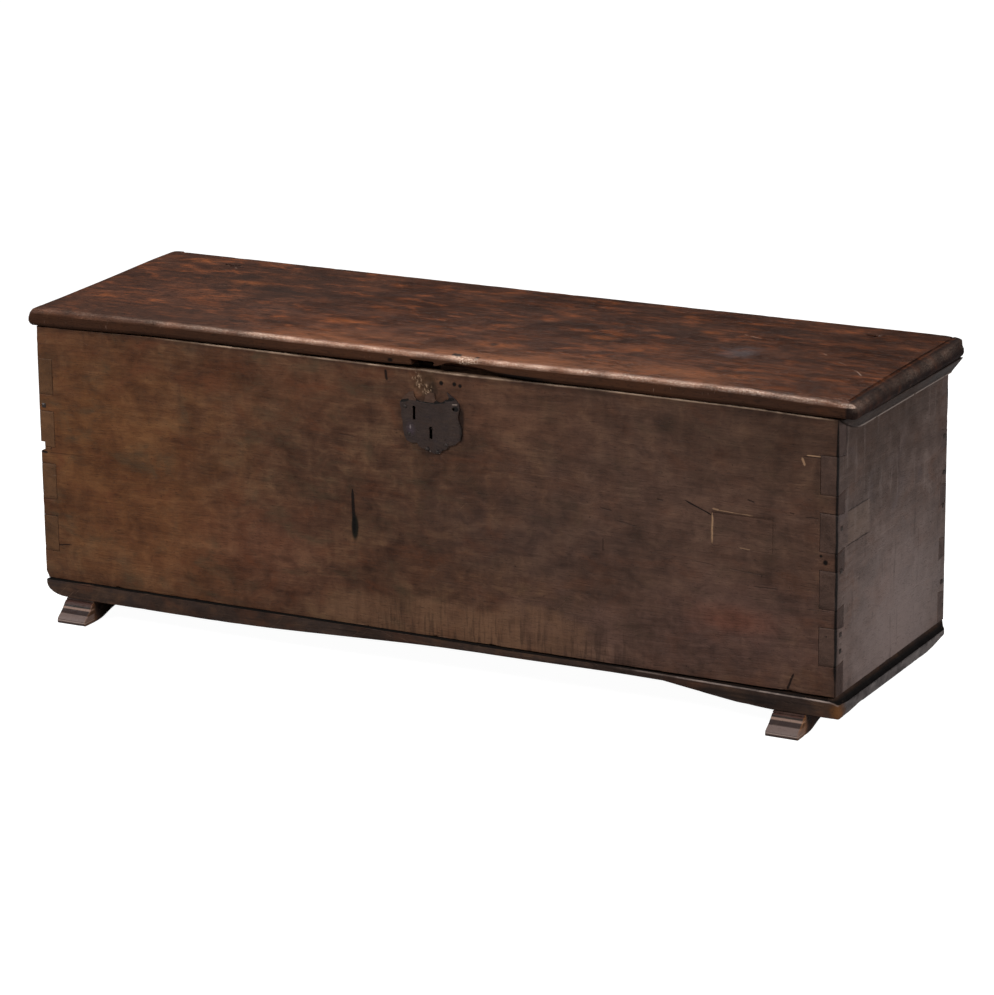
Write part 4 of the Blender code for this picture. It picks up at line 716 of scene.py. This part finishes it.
# Holes: across, height and half width. CORNER_MARKS: height of the upper end and length.
FRONT_HOLES = (
    (0.7223, 0.2316, 0.0034), (0.73, 0.2216, 0.0062),
    (0.0455, 0.4378, 0.005), (0.0701, 0.4383, 0.005), (0.0804, 0.4366, 0.0045),
)
TAIL_HOLES = ((0.717, 0.2889, 0.0032), (0.7175, 0.2693, 0.003), (0.715, 0.387, 0.002),
              (0.733, 0.1, 0.002))
CORNER_MARKS = ((0.405, 0.019), (0.324, 0.013), (0.266, 0.012), (0.139, 0.009), (0.074, 0.01),
                (0.03, 0.006))

# Patches and stains of the lid's field: across, depth from the front face, half width, half depth.
ORANGE_PATCHES = ((-0.7, 0.12, 0.05, 0.03), (-0.68, 0.42, 0.07, 0.03), (-0.5, 0.3, 0.06, 0.03),
                  (-0.2, 0.13, 0.07, 0.03), (0.1, 0.09, 0.09, 0.03), (0.24, 0.2, 0.05, 0.025),
                  (0.34, 0.15, 0.05, 0.025), (0.45, 0.06, 0.05, 0.02), (0.39, 0.31, 0.04, 0.02),
                  (0.55, 0.06, 0.04, 0.02), (0.12, 0.44, 0.08, 0.02), (0.3, 0.4, 0.05, 0.02))
DARK_STAINS = ((-0.52, 0.33, 0.09, 0.04), (-0.36, 0.27, 0.1, 0.05), (0.04, 0.34, 0.14, 0.05),
               (0.24, 0.28, 0.08, 0.04), (0.42, 0.25, 0.07, 0.04), (0.5, 0.37, 0.1, 0.04),
               (0.62, 0.41, 0.04, 0.02), (-0.46, 0.07, 0.1, 0.03), (-0.45, 0.28, 0.08, 0.04),
               (-0.44, 0.4, 0.08, 0.03), (-0.25, 0.29, 0.08, 0.04), (0.35, 0.3, 0.08, 0.05),
               (0.57, 0.09, 0.07, 0.03), (0.15, 0.28, 0.08, 0.04), (0.56, 0.18, 0.07, 0.03))
PALE_SCRATCHES = (((-0.62, 0.41), (-0.58, 0.39)), ((0.38, 0.25), (0.44, 0.22)), ((0.44, 0.32), (0.5, 0.3)),
                  ((0.61, 0.26), (0.69, 0.19)), ((0.69, 0.19), (0.73, 0.15)), ((0.56, 0.26), (0.6, 0.25)))

# Meshes: each board is the CAD solid's own shape with softened arrises, worn and knocked.

WELD = 0.000002
CUT_SNAP = 0.00002
CUT_MARGINS = (0.0012, 0.003, 0.006)
SHARP_ARRIS = math.radians(30)
SHORTEST_ARRIS, SHORTEST_JOINT = 0.004, 0.012
ARRIS_TOLERANCE, JOINT_TOLERANCE = 0.0006, 0.0002
KNOCK_DEPTH = 0.0016
KNOCK_REACH = 0.006
RUB_REACH = 0.0035
JOINT_WIDTH = 0.00045


def limit(value):
    return max(0.0, min(1.0, value))


def ease(value, low, high):
    """0 below low, 1 above high and smooth between; low may be the larger."""
    share = limit((value - low) / (high - low))
    return share * share * (3 - 2 * share)


def even(low, high, step):
    """Places from low to high, both included, about a step apart."""
    count = max(1, round((high - low) / step))
    return [low + (high - low) * i / count for i in range(count + 1)]


def steps(low, high, step):
    """Cut places: an even grid, with closer ones by both ends."""
    near = [low + m for m in CUT_MARGINS] + [high - m for m in CUT_MARGINS]
    inner = even(low, high, step)[1:-1]
    return sorted(near + [p for p in inner if min(p - low, high - p) > CUT_MARGINS[-1] * 1.3])


def on_axis(axis, value):
    return Vector([value if i == axis else 0.0 for i in range(3)])


def box_lines(low, high, which):
    """Edges of a box by key: 'x-+' is the one along X at low Y and high Z. Each is a start and an end."""
    lines = []
    for key in which:
        axis = "xyz".index(key[0])
        start, end = Vector(low), Vector(high)
        for other, sign in zip([i for i in range(3) if i != axis], key[1:]):
            start[other] = end[other] = high[other] if sign == "+" else low[other]
        lines.append((start, end))
    return lines


def nearest_arris(point, lines):
    """Distance to the nearest of the arris lines."""
    best = 1.0
    for start, end in lines:
        run = end - start
        share = limit((point - start).dot(run) / run.length_squared)
        best = min(best, (point - start - run * share).length)
    return best


def cleaned(node_name):
    """The node's mesh as one connected bmesh with whole flat faces."""
    bm = bmesh.new()
    bm.from_mesh(NODES[node_name].data)
    bmesh.ops.remove_doubles(bm, verts=bm.verts, dist=WELD)
    bmesh.ops.dissolve_limit(bm, angle_limit=math.radians(0.4), verts=bm.verts, edges=bm.edges)
    return bm


def soften_edges(bm, width, wanted, segments=2):
    """Bevels the convex edges for which wanted says yes."""
    chosen = [e for e in bm.edges if e.is_manifold and e.is_convex
              and e.calc_face_angle(0.0) > SHARP_ARRIS and wanted(e)]
    if chosen:
        bmesh.ops.bevel(bm, geom=chosen, offset=width, offset_type="OFFSET", affect="EDGES", segments=segments,
                        profile=0.5, material=-1, clamp_overlap=False)


def cut(bm, point, normal):
    bmesh.ops.bisect_plane(bm, geom=bm.verts[:] + bm.edges[:] + bm.faces[:], dist=CUT_SNAP, plane_co=point,
                           plane_no=normal)


def joint_edge(edge, low, high):
    """Whether an edge lies in an outer face of the board's box, and so may show as a joint line."""
    return any(all(abs(v.co[axis] - value) < JOINT_TOLERANCE for v in edge.verts)
               for axis in range(3) for value in (low[axis], high[axis]))


def add_object(name, data):
    made = bpy.data.objects.new(name, data)
    bpy.context.scene.collection.objects.link(made)
    return made


def worn_piece(node_name, material, arris_keys, body="case", step=0.008, seed=0.0, cuts=((), (), ()),
               planes=(), shape=None, rub_and_highlight_share=None, shade_share=None, wave=0.00025, edge=0.0011,
               joint_width=0.0):
    """A board: softened arrises, a slightly uneven face and small knocks along the worn arrises.

    cuts adds cut places per axis and planes adds slanted cuts, each a point and a normal. shape moves each
    point, rub_and_highlight_share says how pale it is rubbed, partly as painted highlight, and shade_share how
    much painted shade it gets."""
    bm = cleaned(node_name)
    low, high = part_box(node_name)
    arrises = box_lines(low, high, arris_keys)

    def is_worn(e):
        middle = (e.verts[0].co + e.verts[1].co) / 2
        return e.calc_length() > SHORTEST_ARRIS and nearest_arris(middle, arrises) < ARRIS_TOLERANCE

    def is_joint(e):
        return e.calc_length() > SHORTEST_JOINT and joint_edge(e, low, high)

    soften_edges(bm, edge, is_worn)
    if joint_width:
        soften_edges(bm, joint_width, is_joint, segments=1)
    for axis in range(3):
        for place in sorted(steps(low[axis], high[axis], step) + list(cuts[axis])):
            cut(bm, on_axis(axis, place), on_axis(axis, 1.0))
    for point, normal in planes:
        cut(bm, point, normal)
    bm.normal_update()
    off = Vector((seed, seed * 0.7, -seed))
    normals = [v.normal.copy() for v in bm.verts]
    rub_and_highlight_values, shades = [], []
    for v, n in zip(bm.verts, normals):
        p = v.co.copy()
        near = nearest_arris(p, arrises)
        depth = wave * (0.5 + 0.5 * noise.noise(p * 11 + off))
        if near < KNOCK_REACH:
            bite = noise.noise(p * 34 + off) + 0.55 * noise.noise(p * 95 - off) - 0.12
            depth += max(0.0, bite) * KNOCK_DEPTH * (1 - near / KNOCK_REACH)
        patchy = 0.85 + 0.9 * noise.noise(p * 23 + off)
        rub_and_highlight_values.append(limit((rub_and_highlight_share(p, n) if rub_and_highlight_share else max(0.0, 1 - near / RUB_REACH)) * patchy))
        shades.append(shade_share(p, n) if shade_share else 0.0)
        v.co = p - n * depth
        if shape:
            v.co = shape(v.co.copy(), n)
    name = node_name + "_worn"
    mesh = bpy.data.meshes.new(name)
    bm.to_mesh(mesh)
    bm.free()
    for key, values in (("rub_and_highlight", rub_and_highlight_values), ("shade", shades)):
        mesh.attributes.new(key, "FLOAT", "POINT").data.foreach_set("value", values)
    mesh.materials.append(material)
    mesh.shade_smooth()
    mesh.set_sharp_from_angle(angle=math.radians(38))
    piece = add_object(name, mesh)
    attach(piece, body)
    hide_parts(node_name)


# The lid's wear: where its flat front face ends, how deep and how far down the rounding goes, how far in from
# the ends it is rubbed, how much its back has risen and how much is torn up over the lock.
LID_FACE_TOP = 0.0215
LID_WEAR_DEPTH = 0.025
LID_WEAR_DROP = 0.0088
LID_END_WEAR = 0.028
BACK_RISE = 0.0022
TORN_LIFT = 0.0095
# The hollow under the lid's front edge and the seat torn open in it for the hasp.
HOLLOW_LEFT, HOLLOW_FADE = on_front(0.024, 0).x, 0.006
SEAT_LEFT, SEAT_RIGHT = on_front(-0.008, 0).x, on_front(0.037, 0).x


def worn_height(depth):
    """Height of the worn lid's top over its underside, at a depth in from the front edge."""
    share = limit(1 - depth / LID_WEAR_DEPTH)
    return LID_THICKNESS - 0.002 - LID_WEAR_DROP * (1 - math.sqrt(1 - share ** 2))


def bow(p):
    """How far the front and the lid stand up right of the middle, where both have warped."""
    rise = 0.0028 * ease(p.x, 0.05, 0.38) * ease(p.x, 0.73, 0.56)
    return (rise - 0.0045 * ease(p.x, -0.5, -0.75)) * ease(p.y, 0.23, -0.1)


def shape_lid(p, n):
    """The front moulding is rubbed round, its lower arris is worn up, and the back corners are still crisp."""
    depth, up = p.y - LID_LOW.y, p.z - LID_LOW.z
    if n.y < -0.3 and up < LID_FACE_TOP and depth < 0.004:
        inner = ease(p.x, LID_LOW.x, LID_LOW.x + 0.03) * ease(p.x, LID_HIGH.x, LID_HIGH.x - 0.03)
        p.y -= (depth - 0.0003) * ease(up, 0.005, 0.009) * inner
    from_left, from_right = p.x - LID_LOW.x, LID_HIGH.x - p.x
    if n.z > -0.2 and up > LID_FACE_TOP:
        along = ease(from_left, 0.004, 0.05) * ease(from_right, 0.022, 0.05)
        along *= ease(depth, LID_WEAR_DEPTH + 0.004, LID_WEAR_DEPTH - 0.002)
        knock = 0.0009 * noise.noise(Vector((p.x * 45, p.y * 45, 2.0))) * ease(depth, 0.03, 0.012)
        p.z += (LID_LOW.z + worn_height(depth) + knock - p.z) * along
        for inward, crisp in ((from_left, ease(depth, 0.06, 0.42)),
                              (from_right, 0.6 * ease(depth, 0.36, 0.46))):
            if inward < LID_END_WEAR:
                share = limit(1 - inward / 0.009)
                target = LID_HIGH.z - 0.0016 - 0.0055 * (1 - math.sqrt(1 - share ** 2))
                p.z += (target - p.z) * crisp * ease(inward, LID_END_WEAR, LID_END_WEAR - 0.004)
        p.z += BACK_RISE * ease(depth, 0.15, 0.46) * (1 + 0.5 * ease(p.x, 0.0, -0.7))
    lift = 0.0018 * ease(p.x, -0.66, -0.5) * ease(p.x, 0.46, 0.3)
    torn = ease(p.x, 0.024, 0.058) * ease(p.x, 0.205, 0.06)
    lift += torn * (TORN_LIFT + 0.0022 * noise.noise(Vector((p.x * 75, 0.5, 3.0))))
    if SEAT_LEFT < p.x < SEAT_RIGHT and depth < 0.04 and n.z < -0.5 and up > 0.01:
        p.z += 0.003
    p.z += lift * ease(up, 0.019, 0.006) * ease(depth, 0.02, 0.014)
    p.z += bow(p) if p.x > 0 else bow(p) * ease(up, 0.028, 0.016)
    return p


def lid_shade(p, n):
    """Painted shade: the lid's flat front face is darkened."""
    up = p.z - LID_LOW.z
    return ease(p.y - LID_LOW.y, 0.01, 0.004) * ease(up, LID_FACE_TOP + 0.0004, LID_FACE_TOP)


# The lid's pale rubbed front edge and right end, partly painted highlight; fainter to the left.
def lid_rub_and_highlight(p, n):
    depth, up = p.y - LID_LOW.y, p.z - LID_LOW.z
    front = ease(depth, 0.014, 0.006) * ease(up, LID_FACE_TOP, LID_FACE_TOP + 0.0008)
    front *= 0.1 + 0.9 * ease(p.x, -0.6, -0.25)
    return max(front, 0.15 * ease(p.x - LID_HIGH.x, -0.016, -0.006) * ease(up, 0.012, 0.022))


# The place above the lock plate where the front's wood is torn out.
GOUGE_LEFT, GOUGE_RIGHT, GOUGE_LOW = on_front(-0.012, 0).x, on_front(0.038, 0).x, on_front(0, 0.412).z


def shape_front(p, n):
    """Wood torn out above the lock plate, where the hasp used to pass, and the warped top edge."""
    p.z += bow(p) * ease(p.z, FRONT_HIGH.z - 0.1, FRONT_HIGH.z)
    if p.y < FRONT_LOW.y + 0.004 and GOUGE_LEFT < p.x < GOUGE_RIGHT and p.z > GOUGE_LOW:
        inside = ease(p.x, GOUGE_LEFT, GOUGE_LEFT + 0.008) * ease(p.x, GOUGE_RIGHT, GOUGE_RIGHT - 0.012)
        inside *= ease(p.z, GOUGE_LOW, GOUGE_LOW + 0.012)
        splinter = 0.6 + 0.9 * noise.noise(Vector((p.x * 260, 0, p.z * 90)))
        p.y += inside * 0.0028 * max(0.0, splinter)
    return p


# The front's pale rubbed top arris, partly painted highlight.
def front_rub_and_highlight(p, n):
    top = ease(p.z - FRONT_HIGH.z, -0.003, -0.0008)
    top *= ease(p.y - FRONT_LOW.y, 0.01, 0.004)
    top *= ease(p.x, -0.56, -0.34) * ease(p.x, 0.74, 0.7)
    return top


def nose_top(p):
    """Height of the nose's upper arris, which drops to the right."""
    return BASE_HIGH.z - 0.0002 - LEDGE_SLOPE * max(0.0, p.x - LEDGE_START)


# The nose's pale rubbed upper arris on the right, partly painted highlight.
def base_rub_and_highlight(p, n):
    arris = ease(p.z, nose_top(p) - 0.0034, nose_top(p) - 0.0022)
    return arris * ease(p.y - BASE_LOW.y, 0.004, 0.001) * ease(p.x, 0.34, 0.46)


def base_shade(p, n):
    """Painted shade: black in the gap under the front and on the ledge outside the right end."""
    right = ease(p.x - END_HIGH.x, -0.005, -0.002)
    outside = max(ease(p.y - FRONT_LOW.y, 0.005, 0.002), right)
    ledge = ease(p.x - BASE_HIGH.x, -0.0004, -0.001) * right * ease(n.z, 0.5, 0.8)
    return max(ledge, outside * ease(p.z, nose_top(p) - 0.0006, nose_top(p) - 0.0001))


def shape_base(p, n):
    """The nose stands up towards the right, the right side's underside is rounded off at the back, and a
    footing under the walls closes the wedge that the falling top would leave there."""
    nose = ease(p.y, FRONT_LOW.y, FRONT_LOW.y - 0.003) * ease(p.x, 0.1, 0.44) * ease(p.x, BASE_HIGH.x, 0.738)
    p.z += 0.0044 * nose * ease(p.z, LEDGE - 0.014, LEDGE - 0.002)
    side = ease(p.x, 0.7, 0.742) * ease(p.z, LEDGE, BASE_LOW.z)
    p.z += side * (0.0032 * ease(p.y, -0.22, -0.15) + 0.01 * ease(p.y, 0.13, BASE_HIGH.y))
    under_walls = max(ease(p.x, END_LOW.x, END_LOW.x + 0.004), ease(abs(p.y), 0.2015, 0.2055))
    footing = under_walls * ease(p.x - END_HIGH.x, 0.003, -0.001) * ease(p.y, -0.2315, -0.2285)
    if n.z > 0.5 and p.x > 0:
        p.z += (BASE_HIGH.z - 0.0003 - p.z) * footing
    return p


def end_rub(p, n):
    return 0.5 * ease(p.z - END_HIGH.z, -0.004, -0.001)


def toe_rub(p, edge):
    """The feet are rubbed along the right arris of the toe."""
    return ease(p.x, edge - 0.003, edge - 0.001) * ease(abs(p.y), 0.232, 0.24)


def build_boards():
    gouge = (even(GOUGE_LEFT, GOUGE_RIGHT, 0.0027), (), even(GOUGE_LOW, FRONT_HIGH.z - 0.004, 0.0031))
    worn_piece("front_board", front_finish(), ("x-+", "x--", "z--", "z+-"), cuts=gouge,
               shape=shape_front, rub_and_highlight_share=front_rub_and_highlight, joint_width=JOINT_WIDTH)
    for side, grain_seed, dark, light, keys, seed in (
            ("right", 2.3, (56, 40, 33), (88, 66, 56), ("y++", "y+-", "z+-", "z++"), 1.3),
            ("left", 4.4, (66, 44, 28), (104, 71, 46), ("y-+", "y--", "z--", "z-+"), 2.9)):
        polish = end_finish(side + "_end_polish", grain_seed, dark, light)
        worn_piece(side + "_end_board", polish, keys, seed=seed, rub_and_highlight_share=end_rub,
                   joint_width=JOINT_WIDTH)
    worn_piece("back_board", back_finish(), ("x++", "x+-", "z-+", "z++"), seed=4.1, step=0.012,
               joint_width=JOINT_WIDTH)
    slope = Vector((LEDGE_SLOPE, 0, 1)).normalized()
    worn_piece("bottom_board", base_finish(), ("x-+", "x--", "y++", "y+-"), seed=5.2,
               planes=[(Vector((LEDGE_START, 0, BASE_HIGH.z - d)), slope) for d in (0.0008, 0.0024, 0.0036)],
               shape=shape_base, rub_and_highlight_share=base_rub_and_highlight, shade_share=base_shade)
    depths = (0.0008, 0.0018, 0.0045, 0.008, 0.0105, 0.013, 0.0165, 0.021, 0.0245, 0.028)
    heights = (0.0105, 0.0135, 0.0165, 0.019, 0.0205, 0.0213, 0.022, 0.023, 0.0245, 0.027)
    worn_piece("lid_board", lid_finish(), ("x-+", "x--", "y++", "y+-", "y-+", "x++"), body="lid",
               seed=6.6, edge=0.0008, wave=0.00045,
               cuts=((), [LID_LOW.y + d for d in depths], [LID_LOW.z + h for h in heights]),
               shape=shape_lid, rub_and_highlight_share=lid_rub_and_highlight, shade_share=lid_shade)
    for side in ("left", "right"):
        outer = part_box(side + "_runner")[1].x
        worn_piece(side + "_runner", runner_finish(), ("x--", "x-+", "y--", "y-+", "y+-", "y++"),
                   seed=7.7, step=0.01, rub_and_highlight_share=lambda p, n, edge=outer: toe_rub(p, edge))


build_boards()

# The pieces that stay the CAD's own: iron, apart from the patch let into the front and the lid's cleats.
IRON = iron_finish()
CLEAT = cleat_finish()
SPECIAL = {"front_patch": bpy.data.materials["front_board_polish"], "lock_plate": plate_finish(),
           "left_cleat": CLEAT, "right_cleat": CLEAT}
for node_name, thing in NODES.items():
    if not thing.hide_render:
        thing.material_slots[0].material = SPECIAL.get(node_name, IRON)

# The camera, fitted to the photograph.
CAMERA_PLACE = (3.0968, -5.8031, 2.123)
CAMERA_RIGHT = Vector((0.8845, 0.4665, -0.0098))
CAMERA_UP = Vector((-0.1197, 0.2471, 0.9616))
camera_data = bpy.data.cameras.new("view_camera")
camera_data.sensor_width = 36.0
camera_data.lens = 145.16
camera = add_object("view_camera", camera_data)
camera_back = CAMERA_RIGHT.cross(CAMERA_UP).normalized()
camera.matrix_world = Matrix([(*row, 1 if i == 3 else 0) for i, row in enumerate(
    (CAMERA_RIGHT, CAMERA_UP, camera_back, CAMERA_PLACE))]).transposed()
bpy.context.scene.camera = camera
bpy.context.scene.view_settings.view_transform = "Standard"

# The floor is grey paper to the light, so that it tints nothing, and white to the camera.
FLOOR_GREY = (0.3, 0.3, 0.3, 1)
FLOOR_GLOW = 0.97
bm = bmesh.new()
bmesh.ops.create_grid(bm, x_segments=1, y_segments=1, size=12)
floor_mesh = bpy.data.meshes.new("floor")
bm.to_mesh(floor_mesh)
bm.free()
floor = add_object("floor", floor_mesh)
paper, tree, shader = new_material("pale_paper")
for socket, value in (("Base Color", FLOOR_GREY), ("Roughness", 0.9), ("Specular IOR Level", 0.0),
                      ("Emission Color", (1, 1, 1, 1))):
    shader.inputs[socket].default_value = value
seen = tree.nodes.new("ShaderNodeLightPath").outputs["Is Camera Ray"]
tree.links.new(calc(tree, "MULTIPLY", seen, FLOOR_GLOW), shader.inputs["Emission Strength"])
floor_mesh.materials.append(paper)

# The world is white to the camera, dim to the boards and nearly dark in their reflections.
WORLD_DIM = 0.16
WORLD_REFLECTED = 0.03
world = bpy.data.worlds.new("studio")
world.use_nodes = True
sky = world.node_tree
background = sky.nodes["Background"].inputs
background["Color"].default_value = (1, 1, 1, 1)
ray = sky.nodes.new("ShaderNodeLightPath").outputs
strength = calc(sky, "MULTIPLY_ADD", ray["Is Camera Ray"], 1 - WORLD_DIM, WORLD_DIM)
strength = calc(sky, "MULTIPLY_ADD", ray["Is Glossy Ray"], WORLD_REFLECTED - WORLD_DIM, strength)
sky.links.new(strength, background["Strength"])
bpy.context.scene.world = world


def area(name, place, target, size, power, colour=(1, 1, 1)):
    data = bpy.data.lights.new(name, "AREA")
    data.shape = "RECTANGLE"
    data.size, data.size_y = size
    data.energy = power
    data.color = colour
    lamp = add_object(name, data)
    lamp.location = place
    lamp.rotation_euler = (Vector(target) - Vector(place)).to_track_quat("-Z", "Y").to_euler()


area("overhead", (-0.76, 0.32, 2.7), (0.1, -0.2, 0.5), (1.6, 0.4), 66, (1.0, 0.94, 0.89))
area("left_front", (-2.0, -3.0, 3.0), (-0.2, 0, 0.3), (1.3, 1.3), 128)
area("right_side", (3.4, -0.9, 1.6), (0.5, 0, 0.3), (1.0, 1.0), 76, (0.98, 0.98, 1.0))
